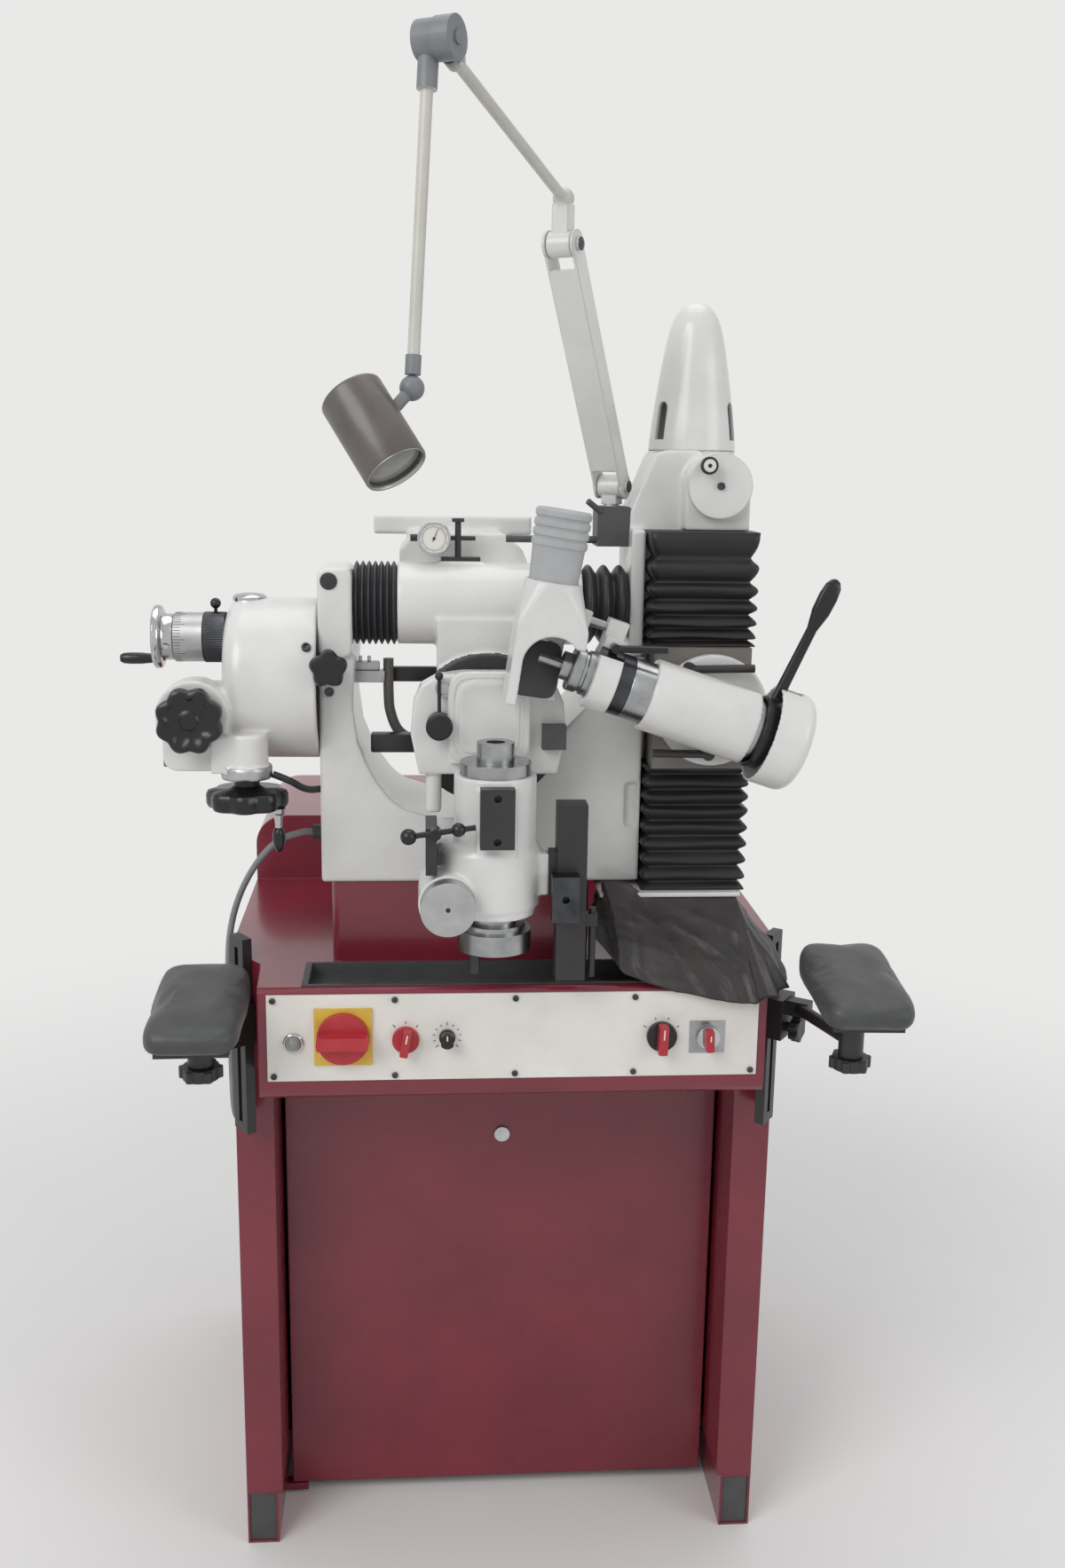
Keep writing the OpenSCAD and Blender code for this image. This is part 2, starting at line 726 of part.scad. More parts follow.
// Workhead: a swivel plate on the carriage, with a vertical work spindle in front of it
module swivel_plate() color(cast_white) from_legs() difference() {
    wing = [[-76, -44], [-85, 0], [-82, 36], [-74, 54], [-56, 64], [-28, 68]];
    arch_r = 40;
    union() {
        plate_y(plate_y, plate_t) translate([pivot_x, pivot_z])
            polygon(concat(wing, [for (i = [len(wing) - 1 : -1 : 0]) [-wing[i][0], wing[i][1]]]));
        plate_y(plate_y - 10, 11) {
            translate([pivot_x, pivot_z + 28]) circle(arch_r);
            translate([pivot_x - arch_r, body_top + seat_gap])
                square([2 * arch_r, pivot_z + 28 - body_top - seat_gap]);
        }
        along_z([pivot_x - 60, plate_y + 12, body_step + 16], pivot_z - 40 - body_step - 16, 9);
    }
    along_y([pivot_x, plate_y, pivot_z], plate_t + cut, pivot_r + run_gap);
}

module workhead_body() color(cast_white) from_legs() difference() {
    low_h = body_step - body_z0;
    union() {
        along_z([work_x, work_y, body_z0], body_top - body_z0, body_r);
        translate([low_x, low_y, body_z0]) rotate_extrude() polygon([[0, 0], [low_r - 10, 0],
            [low_r, 10], [low_r, low_h - 9], [low_r - 3, low_h - 3], [low_r - 9, low_h], [0, low_h]]);
        translate([low_x - low_r, low_y - 18, dial_z + 32]) cube([28, 30, body_step - dial_z - 40]);
        translate([work_x, rail_y + 6, body_step - 58]) cube([58 - seat_gap, 18, 46]);
        along_y([dial_x, dial_y, dial_z], 72, dial_r + 2);
        translate([work_x - 21, work_y - body_r, body_step - 6]) cube([42, 20, 70]);
        translate([work_x - 36, work_y + 20, body_step - 40])
            cube([72, plate_y - work_y - 20, body_top - body_step + 40]);
    }
    along_z([work_x, work_y, body_z0 - cut], body_top - body_z0 + 2 * cut, work_r + run_gap);
    along_y([dial_x, dial_y - cut, dial_z], 42, dial_shaft_r + run_gap);
}

dial_shaft_r = 8;

module rest_rail() color(black) from_legs() {
    block_front = work_y - body_r - 14;
    block_z = body_step + 4;
    bracket_x = low_x - low_r - seat_gap;
    difference() {
        translate([work_x - 18, block_front, block_z]) cube([36, 14, 64]);
        for (z = [8, 54]) along_y([work_x, block_front - cut, block_z + z], 9, 4);
    }
    translate([bracket_x - 12, work_y - 47, dial_z + 32]) cube([12, 60, body_step - dial_z - 8]);
    translate([rail_x, rail_y, rail_z]) cube([32, 30, rail_l]);
    translate([work_x + 58, rail_y + 5, body_step - 60]) cube([rail_x - work_x - 58 + cut, 20, 50]);
    along_z([rail_x + 40, rail_y + 10, rail_z + 2], 78, 4);
    translate([rail_x + 32 - cut, rail_y + 4, rail_z + 60]) cube([14, 12, 14]);
    along_y([pivot_x - 54, plate_y - 16, pivot_z + 12], 16 - seat_gap, 14);
    along_y([pivot_x - 49, plate_y - 7, pivot_z + 52], 7 - seat_gap, 9.5);
    translate([pivot_x + 58, plate_y - 14, pivot_z - 14]) cube([26, 14 - seat_gap, 27]);
}

module rest_block() color(dark_steel) from_legs() difference() {
    translate([work_x + 59.5, rail_y - 20, body_z0 - 2]) cube([29, 20 - slide_gap, 50]);
    along_y([work_x + 74, rail_y - 20 - cut, body_z0 + 23], 12, 4);
}

module work_spindle() color(steel) from_legs() difference() {
    low_drop = 40;
    low_z = body_z0 - low_drop;
    nose_z = body_top + 34;
    union() {
        along_z([work_x, work_y, low_z], nose_z - low_z, work_r);
        along_z([work_x, work_y, body_top + slide_gap], 13, flange_r);
        along_z([work_x, work_y, low_z], 22, low_flange_r);
        along_z([work_x, work_y, low_z + 20], 9, low_flange_r - 6);
        along_z([work_x, work_y, low_z + 28], low_drop - 28 - slide_gap, work_r + 6);
        along_z([work_x - 21, work_y - 5, low_z - 29], 31, 6);
    }
    along_z([work_x, work_y, low_z - cut], nose_z - low_z + 2 * cut, collet_r);
}

module index_dial() color(steel) from_legs() {
    along_y([dial_x, dial_y - 20, dial_z], 20 - slide_gap, dial_r);
    along_y([dial_x, dial_y - 20, dial_z], 56, dial_shaft_r);
}

module index_lever() color(black) from_legs() {
    y = work_y - 47;
    hub = [lever_at[0], y - 9, lever_at[1]];
    bar_l = 70;
    back = 28;
    along_y([hub[0], y - 18, hub[2]], 18 - slide_gap, 6);
    translate(hub) rotate([0, 82, 0]) translate([0, 0, -back]) rotate_extrude() intersection() {
        union() {
            square([3, bar_l]);
            circle(8.5);
            translate([0, back + 24]) circle(7.5);
        }
        translate([0, -9]) square([9, bar_l + 9]);
    }
}

// Feed gearbox: a drum on the frame's left side, with an angle drive below it
module feed_gearbox() color(cast_white) from_legs() difference() {
    edge = 22;
    union() {
        translate([drum_x, drum_y, drum_z]) rotate([0, 90, 0]) rotate_extrude() {
            translate([0, edge]) square([drum_r, drum_l - edge]);
            square([drum_r - edge, drum_l]);
            translate([drum_r - edge, edge]) circle(edge);
        }
        translate([drum_x - 64, star_y, drum_z - 92]) plate_y(0, 65) rounded(72, 92, 16);
        along_y([star_x, star_y - 6, star_z], 40, star_r + 3);
        along_z([hub_x, hub_y, hub_z], 14, hub_r + 1);
        along_z([hub_x, hub_y, hub_z], 50, hub_r - 3);
        translate([drum_x - 10, hub_y - 20, hub_z + 8]) cube([45, 40, 40]);
    }
    along_x([drum_x + 12, drum_y, drum_z], drum_l, drum_r - 12);
    along_x([drum_x - cut, fine_y, fine_z], 20, fine_shaft_r + run_gap);
    along_y([star_x, star_y - 6 - cut, star_z], 46, star_shaft_r + run_gap);
    along_z([hub_x, hub_y, hub_z - cut], 36, hub_shaft_r + run_gap);
}

module feed_collar() color(dark_steel) from_legs() difference() {
    knurl_l = 24;
    union() {
        along_x([drum_x - knurl_l, fine_y, fine_z], knurl_l, collar_r);
        along_x([drum_x - collar_l, fine_y, fine_z], collar_l - knurl_l + cut, collar_r - 2);
        along_z([drum_x - 12, fine_y, fine_z + collar_r - 2], 9, 2);
        translate([drum_x - 12, fine_y, fine_z + collar_r + 11]) sphere(6);
    }
    along_x([drum_x - collar_l - cut, fine_y, fine_z], collar_l + 2 * cut, fine_shaft_r + run_gap);
}

module fine_feed_wheel() color(steel) from_legs() {
    wheel_x = drum_x - collar_l - 20;
    along_x([wheel_x, fine_y, fine_z], 8, fine_r);
    along_x([wheel_x + 7, fine_y, fine_z], 13 - slide_gap, 20);
    along_x([wheel_x + 7, fine_y, fine_z], collar_l + 28, fine_shaft_r);
    along_x([wheel_x - 38, fine_y - 18, fine_z - 22], 39, 6.5);
}

module star_wheel() color(black) from_legs() {
    lobes = 8;
    lobe_r = 8;
    front = star_y - 36;
    along_y([star_x, front, star_z], 18, star_r - lobe_r + 2);
    for (k = [0 : lobes - 1])
        along_y([star_x + (star_r - lobe_r) * cos(k * 360 / lobes), front,
            star_z + (star_r - lobe_r) * sin(k * 360 / lobes)], 18, lobe_r);
    along_y([star_x, front + 17, star_z], 13 - slide_gap, 14);
    along_y([star_x, front + 17, star_z], 47, star_shaft_r);
}

module crank_handwheel() color(black) from_legs() {
    lobes = 8;
    lobe_r = 10;
    rim_t = 22;
    z = hub_z - 34;
    crank_a = -20;
    reach = crank_wheel_r - lobe_r;
    crank = [(reach + 2) * cos(crank_a), (reach + 2) * sin(crank_a)];
    translate([hub_x, hub_y, z]) {
        cylinder(h = rim_t, r = reach + 4);
        for (k = [0 : lobes - 1]) rotate([0, 0, (k + 0.5) * 360 / lobes]) translate([reach, 0, 0])
            cylinder(h = rim_t, r = lobe_r);
        cylinder(h = 34 - slide_gap, r = 15);
        cylinder(h = 64, r = hub_shaft_r);
        translate([crank[0], crank[1], -24]) cylinder(h = 28, r = 4);
        translate([crank[0], crank[1], -48]) egg(30, 8);
    }
}

module feed_cable() color(black) from_legs()
    sweep(fine_points(cable_points, 3), cable_r, 10, [1, 0, 0], [1, 0, 0]);

// Column with its head, the shelf under the bellows and the bar's flange
module column() color(cast_white) from_legs() difference() {
    wall = 10;
    flange_z = frame_z + tower_h + seat_gap;
    union() {
        translate([col_left, col_y, deck_z]) cube([col_w, col_d, col_h]);
        translate([flange_x, bar_y - 36, flange_z]) cube([bar_seat + 1, 110, col_top - flange_z]);
        translate([flange_x, col_y, flange_z]) cube([col_left - flange_x + 1, 84, col_top - flange_z]);
        along_z([col_x, cap_y, col_top - 1], head_h + 1, cap_r);
        plate_y(col_y, 84) polygon([
            [flange_x, col_top - 1], [flange_x, col_top + 18], [flange_x + 27, head_top - 4],
            [flange_x + 41, head_top], [col_x, head_top], [col_x, col_top - 1]]);
        plate_y(disc_y, 60) translate([disc_x, disc_z]) {
            circle(disc_r + 1);
            translate([-disc_r - 1, col_top - disc_z]) square([2 * disc_r + 2, disc_z - col_top]);
        }
        translate([col_x - 109, slide_front, shelf_z])
            cube([col_right - 5 - col_x + 109, col_y - slide_front + 1, shelf_t]);
    }
    translate([col_left + wall, col_y + groove_d + 10, deck_z - cut])
        cube([col_w - 2 * wall, col_d - groove_d - 10 - wall, col_h - 20]);
    translate([col_x - groove_w / 2, slide_front - cut, deck_z + 94])
        cube([groove_w, col_y - slide_front + groove_d + cut, col_h - 106]);
    along_z([col_x, screw_y, deck_z + 84], col_h - 86, screw_r + run_gap);
    along_x([flange_x - cut, bar_y, bar_z], bar_seat + cut, bar_r + run_gap);
    along_y([disc_x, disc_y - cut, disc_z], 40, crank_shaft_r + run_gap);
}

crank_shaft_r = 8;

module column_cap() color(cast_white) from_legs() difference() {
    wall = 4;
    slot_r = 7.5;
    translate([col_x, cap_y, head_top]) bullet(cap_h, cap_r);
    translate([col_x, cap_y, head_top - cut]) bullet(cap_h - wall + cut, cap_r - wall);
    for (a = [210, 330]) translate([col_x, cap_y, head_top + 12]) rotate([0, 0, a])
        translate([cap_r - 16, 0, 0]) rotate([90, 0, 90]) linear_extrude(22) {
            translate([-slot_r, 0]) square([2 * slot_r, 34]);
            translate([0, 34]) circle(slot_r);
        }
}

// A shell nose that narrows slowly and then rounds over
function nose_at(t) = (1 - 0.5 * pow(t, 1.25)) * sqrt(1 - pow(t, 12));
module bullet(h, r) rotate_extrude() polygon(concat(
    [[0, 0], [r, 0]], [for (i = [1 : 20]) let (t = sin(i * 4.5)) [r * nose_at(t), h * t]]));

module crank_disc() color(cast_white) from_legs() {
    front = disc_y - 12;
    along_y([disc_x, front, disc_z], 12 - slide_gap, disc_r);
    along_y([disc_x, front, disc_z], 50, crank_shaft_r);
    along_y([disc_x - 16, front - 16, disc_z + 22], 17, 7);
}

module lift_screw() color(steel) from_legs()
    along_z([col_x, screw_y, deck_z + 85], col_h - 88, screw_r);

// Pleated covers over the column's ways, above and below the slide
module column_bellows() color(black) from_legs() {
    low_z = shelf_z + shelf_t;
    pleated(low_z, slide_z0 - slide_gap - low_z, 9, 1);
    pleated(slide_z0 + slide_h + slide_gap, col_top - slide_z0 - slide_h - 2 * slide_gap, 6, 0.7);
}

module pleated(z, l, n, gather) translate([col_x, 0, z]) difference() {
    d = col_y - slide_gap - bellow_front;
    skin = 4;
    intersection() {
        plate_y(bellow_front, d) folds(l, n, bellow_w / 2, bellow_pleat, gather);
        translate([0, bellow_front + d, 0])
            plate_x(-bellow_w / 2, bellow_w) folds(l, n, d, bellow_pleat, gather);
    }
    translate([-bellow_w / 2 + bellow_pleat + skin, bellow_front + bellow_pleat + skin, -cut])
        cube([bellow_w - 2 * bellow_pleat - 2 * skin, d, l + 2 * cut]);
}

// Wheelhead
module wheelhead_slide() color(dark_steel) from_legs() difference() {
    w = 108;
    union() {
        translate([col_x - w / 2, slide_front, slide_z0]) cube([w, col_y - slide_gap - slide_front, slide_h]);
        translate([col_x - groove_w / 2 + slide_gap, col_y - 2, slide_z0 + 10])
            cube([groove_w - 2 * slide_gap, groove_d - 2, slide_h - 20]);
        along_y([sp_x, slide_front - 22, sp_z], 23, pin_r);
    }
    along_z([col_x, screw_y, slide_z0], slide_h, screw_r + run_gap);
}

// Spindle frame: X along the spindle to the rear, Z square to it, origin on the swivel axis
module at_spindle() from_legs() translate([sp_x, sp_y, sp_z]) rotate([0, spindle_tilt, 0]) children();

module spindle_housing() color(cast_white) at_spindle() difference() {
    hood_r = 54;
    hood_x = 46;
    hood_l = 44;
    hood_wall = 3;
    edge = 14;
    flange_y = swivel_y - swivel_t - sp_y;
    union() {
        along_x([body_x, 0, 0], body_end - body_x, housing_r);
        along_y([0, 20, 0], flange_y - 19, body_end);
        along_y([0, flange_y, 0], swivel_t, swivel_r);
        difference() {
            translate([hood_x, 0, 0]) rotate([0, 90, 0]) rotate_extrude() {
                square([hood_r, hood_l - edge]);
                square([hood_r - edge, hood_l]);
                translate([hood_r - edge, hood_l - edge]) circle(edge);
            }
            along_x([hood_x - cut, 0, 0], hood_l - edge + cut, hood_r - hood_wall);
            along_x([hood_x - cut, 0, 0], hood_l - 4 + cut, hood_r - edge);
            translate([hood_x - cut, -12, 30]) cube([26 + cut, 24, hood_r]);
        }
        translate([body_end - 9, 30, -16]) cube([9, hood_r - 30.5, 32]);
        translate([body_end - cut, yoke_r + 1.5, -16]) cube([28, hood_r - yoke_r - 2, 32]);
        along_y([lever_x, quill_r + 1.6, 0], yoke_r - quill_r + 1, lever_pin_r);
    }
    along_x([body_x - cut, 0, 0], body_end - body_x + 2 * cut, quill_r + run_gap);
    along_y([0, flange_y - 10, 0], swivel_t + 10 + cut, pin_r + run_gap);
}

yoke_r = 40;

module quill() color(dark_steel) at_spindle() difference() {
    union() {
        along_x([-125, 0, 0], 172, quill_r);
        along_x([-152, 0, 0], 28, collar_bore_r);
        along_x([-174, 0, 0], 23, collar_bore_r - 2);
    }
    along_x([-174 - cut, 0, 0], 205 + 2 * cut, arbor_r + run_gap);
}

collar_bore_r = 26;

module guard_collar() color(cast_white) at_spindle() {
    difference() {
        union() {
            along_x([-151, 0, 0], 26 - slide_gap, 35);
            translate([ear_x - 11, rod_y - 10, 20]) cube([22, 20, rod_z - 20 + 10]);
            translate([ear_x - 11, -10, 28]) cube([22, 32, 16]);
        }
        along_x([-151 - cut, 0, 0], 42, collar_bore_r + run_gap);
    }
    along_x([-192, rod_y, rod_z], ear_x + 11 + 192 - cut, rod_r);
    along_y([ear_x, -26, 36], 17, 5);
    rod([ear_x, -22, 36], [ear_x + 52, -22, 52], 4);
}

module arbor() color(steel) at_spindle() {
    along_x([-180, 0, 0], 208, arbor_r);
    along_x([-184, 0, 0], 10 - slide_gap, 15);
    along_x([-209, 0, 0], 26, seat_r);
}

// A yoke round the quill's tail, with a lever that leans to the rear
module hand_lever() color(black) at_spindle() translate([lever_x, 0, 0]) {
    yoke_l = 14;
    difference() {
        along_x([-yoke_l / 2, 0, 0], yoke_l, yoke_r);
        along_x([-yoke_l / 2 - cut, 0, 0], yoke_l + 2 * cut, quill_r + 3.4);
        along_y([0, 0, 0], yoke_r + cut, lever_pin_r + run_gap);
    }
    rotate([0, lever_lean, 0]) {
        translate([-6, -5, yoke_r - 3]) cube([12, 10, 94]);
        translate([0, 0, 126]) egg(54, 10);
    }
}

module swivel_clamps() color(black) at_spindle() {
    front = swivel_y - swivel_t - sp_y;
    for (c = [[-42, 36, 66, 24], [10, -46, -60, -18]]) {
        along_y([c[0], front - 14, c[1]], 14 - seat_gap, 7);
        rod([c[0], front - 10, c[1]], [c[0] + c[2], front - 14, c[1] + c[3]], 4.5);
    }
}

// Wheel guard: a leaning hood over the wheel, open to the front, the right and below
module at_guard() from_legs() translate([guard_x, sp_y, guard_z]) rotate([0, guard_lean, 0]) children();

module hood_form(inset) hull() {
    translate([-38 + inset, -40 + inset, -46]) cube([74 - 2 * inset, 70 - 2 * inset, 84 - inset]);
    translate([neck_x, -4, 48]) cylinder(h = 36, r = neck_r - inset, $fn = soft_fn);
}

module wheel_guard() color(cast_white) {
    mouth_r = 31;
    difference() {
        at_guard() difference() {
            hood_form(0);
            translate([0, 0, -cut]) hood_form(guard_wall);
            translate([neck_x, -4, 48]) cylinder(h = 40, r = neck_r - guard_wall);
            translate([-27, -60, -70]) cube([90, 36, 70]);
            along_y([-27 + mouth_r, -60, -cut], 36, mouth_r);
            translate([20, -60, -70]) cube([60, 120, 90]);
            along_y([-6, 10, 6], 40, 15);
        }
        at_spindle() along_x([-230, rod_y, rod_z], 100, rod_r + run_gap);
        at_spindle() along_x([-190, 0, 0], 80, collar_bore_r + 2);
    }
    at_spindle() difference() {
        translate([-186, rod_y - 10, rod_z - 10]) cube([18, 20, 20]);
        along_x([-190, rod_y, rod_z], 40, rod_r + run_gap);
    }
}

module suction_cuff() color(grey) at_guard() translate([neck_x, -4, 0]) difference() {
    foot = 66;
    rib_z = 118;
    rib = 40 / cuff_ribs;
    wall_r = 27.5;
    union() {
        translate([0, 0, foot]) cylinder(h = 20, r = neck_r - guard_wall - slide_gap);
        translate([0, 0, foot + 18]) cylinder(h = rib_z - foot - 17, r1 = 26, r2 = wall_r);
        for (k = [0 : cuff_ribs - 1]) translate([0, 0, rib_z + k * rib]) rotate_extrude()
            polygon([
                [0, 0], [wall_r, 0], [wall_r + 2, rib * 0.2], [wall_r + 2, rib * 0.8], [wall_r, rib], [0, rib]
            ]);
    }
    translate([0, 0, foot - cut]) cylinder(h = 94, r = cuff_bore_r);
}

// Armrests
module at_rail() from_legs() translate([rest_x, rest_y, 0]) rotate([0, 0, -taper]) children();

module armrest_rails() color(black) both_sides() at_rail() difference() {
    translate([0, -rest_w / 2, rest_top - rest_rail_l]) cube([rest_t, rest_w, rest_rail_l]);
    translate([rest_t - 4, -4, rest_top - rest_rail_l + 12]) cube([5, 8, rest_rail_l - 24]);
}

module bracket(pivot, rise) {
    seat_z = pad_z + rise;
    block_t = 18;
    arm_x = rest_t + slide_gap + block_t;
    at_rail() {
        translate([rest_t + slide_gap, -20, rest_z - 25]) cube([block_t, 40, 50]);
        for (y = [-20, rest_w / 2 + slide_gap])
            translate([1, y, rest_z - 25]) cube([rest_t + 2, 20 - rest_w / 2 - slide_gap, 50]);
        translate([arm_x - cut, -9, arm_z - 9]) cube([arm_l + 2 * cut, 18, 18]);
        along_x([arm_x - cut, 0, rest_z - 13], 9, 6);
        translate([arm_x + 7, 0, rest_z - 13]) rotate([0, 90, 0]) lobed_knob(16.5, 10);
    }
    bend = arm_x + arm_l * 0.42;
    elbow = [rest_x + bend * cos(taper), rest_y - bend * sin(taper), arm_z];
    from_legs() {
        rod(elbow, [pivot[0], pivot[1], arm_z], 7.5);
        along_z([pivot[0], pivot[1], arm_z - 16], seat_z - pad_plate_t - slide_gap - arm_z + 16, 14);
        along_z([pivot[0], pivot[1], arm_z - 16], seat_z - arm_z + 28, pad_pin_r);
        translate([pivot[0], pivot[1], arm_z - 30]) lobed_knob(24, 12);
        along_z([pivot[0], pivot[1], arm_z - 19], 4, 6);
    }
}

boss_lip = 0.8;
module lobed_knob(r, h) {
    lobes = 6;
    translate([0, 0, -boss_lip]) cylinder(h = h + 2 * boss_lip, r = r - 4);
    for (k = [0 : lobes - 1]) rotate([0, 0, k * 360 / lobes]) translate([r - 5, 0, 0]) cylinder(h = h, r = 5);
}

module left_bracket() color(black) mirror([1, 0, 0]) bracket([-left_pivot[0], left_pivot[1]], 0);

module right_bracket() color(black) bracket(right_pivot, right_pad_rise);

// A cushion: rounded outline, drawn in between the corners, crowned on top and thicker towards the elbow
pad_levels = [[0, 0.86], [0.06, 0.95], [0.3, 1], [0.62, 1], [0.84, 0.94], [0.95, 0.82], [1, 0.6]];
function pad_edge(a) =
    let (p = 0.42, s = 1 - 0.03 * pow(cos(2 * a), 2))
    [pad_w / 2 * sign(cos(a)) * pow(abs(cos(a)), p) * s, pad_l / 2 * sign(sin(a)) * pow(abs(sin(a)), p) * s];

module cushion(turn) rotate([0, 0, turn]) difference() {
    n = 40;
    rows = len(pad_levels);
    rings = [for (v = pad_levels, k = [0 : n - 1])
        let (e = pad_edge((k + 0.5) * 360 / n) * v[1], h = pad_t * (1 + pad_wedge * e[1] / pad_l))
        [e[0], e[1], h * v[0]]];
    sides = [for (j = [0 : rows - 2], k = [0 : n - 1], h = [0, 1])
        let (a = j * n + k, b = j * n + (k + 1) % n)
        h == 0 ? [a, a + n, b] : [b, a + n, b + n]];
    floor = [for (k = [0 : n - 1]) [rows * n, k, (k + 1) % n]];
    crown = [for (k = [0 : n - 1]) [rows * n + 1, (rows - 1) * n + (k + 1) % n, (rows - 1) * n + k]];
    polyhedron(concat(rings, [[0, 0, 0], [0, 0, pad_t * 1.03]]), concat(sides, floor, crown));
    translate([0, 0, -cut]) cylinder(h = 14 + cut, r = pad_pin_r + 1);
}

module pad(pivot, turn, rise) from_legs() translate([pivot[0], pivot[1], pad_z + rise]) {
    cushion(turn);
    difference() {
        translate([0, 0, -pad_plate_t]) rotate([0, 0, turn])
            translate([-pad_w * 0.36, -pad_l * 0.38, 0])
                cube([pad_w * 0.72, pad_l * 0.76, pad_plate_t - seat_gap]);
        translate([0, 0, -pad_plate_t - cut]) cylinder(h = pad_plate_t + 2 * cut, r = pad_pin_r + run_gap);
    }
}

module left_pad() color(hide) pad(left_pivot, left_pad_turn, 0);

module right_pad() color(hide) pad(right_pivot, right_pad_turn, right_pad_rise);

// Leather apron: one sheet that hangs round the column's foot and over the console's edge.
// Corners run from the back left round the front to the back right: top edge, then hem.
apron_t = 2.5;
apron_cols = 40;
apron_rows = 10;
apron_fold = 4.5;
apron_z = shelf_z - slide_gap;
apron_top = [[-103, -24], [-105, -52], [-104, -80], [-27, -81], [50, -80], [51, -52], [51, -24]];
apron_hem = [
    [-110, -24, 52], [-111, -60, 58], [-120, -104, 52], [-85, -143, 16], [-29, -151, -5], [29, -155, -15],
    [57, -157, -16], [84, -152, -10], [100, -122, -8], [110, -86, -6], [110, -70, -2]
];
function between(p, t) =
    let (n = len(p) - 1, i = min(floor(t * n), n - 1), f = t * n - i) p[i] * (1 - f) + p[i + 1] * f;
function apron_point(i, j, inset) =
    let (u = i / apron_cols, v = j / apron_rows, t = between(apron_top, u), h = between(apron_hem, u),
        out = [cos(180 + 180 * u), sin(180 + 180 * u)],
        push = apron_fold * sin(u * 1440) * v * (1 - 0.35 * v) - inset,
        flare = pow(v, 1.25),
        drop = v < 0.7 ? 0.86 * v : 0.602 + (v - 0.7) * 0.398 / 0.3)
    [col_x + t[0] + (h[0] - t[0]) * flare + out[0] * push,
     t[1] + (h[1] - t[1]) * flare + out[1] * push,
     apron_z + (deck_z + h[2] - apron_z) * drop];

module leather_apron() color(hide) from_legs() {
    c = apron_cols + 1;
    m = c * (apron_rows + 1);
    b = apron_rows * c;
    points = [for (inset = [0, apron_t], j = [0 : apron_rows], i = [0 : apron_cols])
        apron_point(i, j, inset)];
    outer = [for (j = [0 : apron_rows - 1], i = [0 : apron_cols - 1], h = [0, 1])
        let (a = j * c + i) h == 0 ? [a, a + 1, a + c] : [a + 1, a + c + 1, a + c]];
    inner = [for (f = outer) [f[2] + m, f[1] + m, f[0] + m]];
    top = [for (i = [0 : apron_cols - 1], h = [0, 1])
        h == 0 ? [i, i + m, i + 1] : [i + 1, i + m, i + 1 + m]];
    hem = [for (i = [b : b + apron_cols - 1], h = [0, 1])
        h == 0 ? [i, i + 1, i + m] : [i + 1, i + 1 + m, i + m]];
    left = [for (j = [0 : apron_rows - 1], h = [0, 1])
        let (a = j * c) h == 0 ? [a, a + c, a + m] : [a + c, a + c + m, a + m]];
    right = [for (j = [0 : apron_rows - 1], h = [0, 1])
        let (a = j * c + apron_cols) h == 0 ? [a, a + m, a + c] : [a + c, a + m, a + c + m]];
    polyhedron(points, concat(outer, inner, top, hem, left, right));
}

// Cord and glands
module mains_cord() color(grey) from_legs()
    sweep(fine_points(cord_points, 3), cord_d / 2, 10, [-1, 0, 0], [0, 0, 1]);

module cord_glands() color(black) from_legs() {
    along_x([gland_at[0] - gland_l, gland_at[1], gland_at[2]], gland_l, gland_r);
    end = cord_points[len(cord_points) - 1];
    translate([-half_w - elbow_gland[0], end[1] - elbow_gland[1] / 2, end[2]]) cube(elbow_gland);
}

// Lamp
module lamp_clamp() color(dark_steel) from_legs() {
    z0 = lamp_at[2] - 66;
    clamp_h = 44;
    rod_cover = 7;
    low = min(z0, gauge_z - rod_cover);
    high = max(z0 + clamp_h, gauge_z + rod_cover);
    difference() {
        translate([flange_x - 36, bar_y - 10, low]) cube([36, 48, high - low]);
        along_z([lamp_at[0], lamp_at[1], z0 + 8], 40, stem_r + run_gap);
    }
    along_x([-9, bar_y, gauge_z], flange_x - 36 + 9, 4);
    rod([flange_x - 32, bar_y - 8, z0 + 38], [flange_x - 48, bar_y - 16, z0 + 50], 3.5);
}

// Lamp pivots turn about the local Y axis, with X along the heading
module at_lamp(p) from_legs() translate(p) rotate([0, 0, lamp_heading]) children();

module lamp_fork() color(cast_white) {
    from_legs() along_z([lamp_at[0], lamp_at[1], lamp_at[2] - 56], 46, stem_r);
    at_lamp(lamp_at) {
        along_y([0, -lamp_w / 2 + 4, 0], lamp_w - 8, 13);
        translate([-9, -9, -20]) cube([18, 18, 14]);
        along_y([0, -lamp_w / 2 - 4, 0], lamp_w + 8, lamp_pin_r);
    }
}

module lamp_lower_arm() color(cast_white) at_lamp(lamp_at) rotate([0, 90 - lamp_low_el, 0]) {
    cheek = 3;
    for (y = [-lamp_w / 2, lamp_w / 2 - cheek]) difference() {
        union() {
            translate([-12, y, 0]) cube([24, cheek, lamp_low_l]);
            for (z = [0, lamp_low_l]) along_y([0, y, z], cheek, 14);
        }
        for (z = [0, lamp_low_l]) along_y([0, y - cut, z], cheek + 2 * cut, lamp_pin_r + run_gap);
    }
    translate([9, -lamp_w / 2 + cheek - cut / 2, 26]) cube([3, lamp_w - 2 * cheek + cut, lamp_low_l - 48]);
}

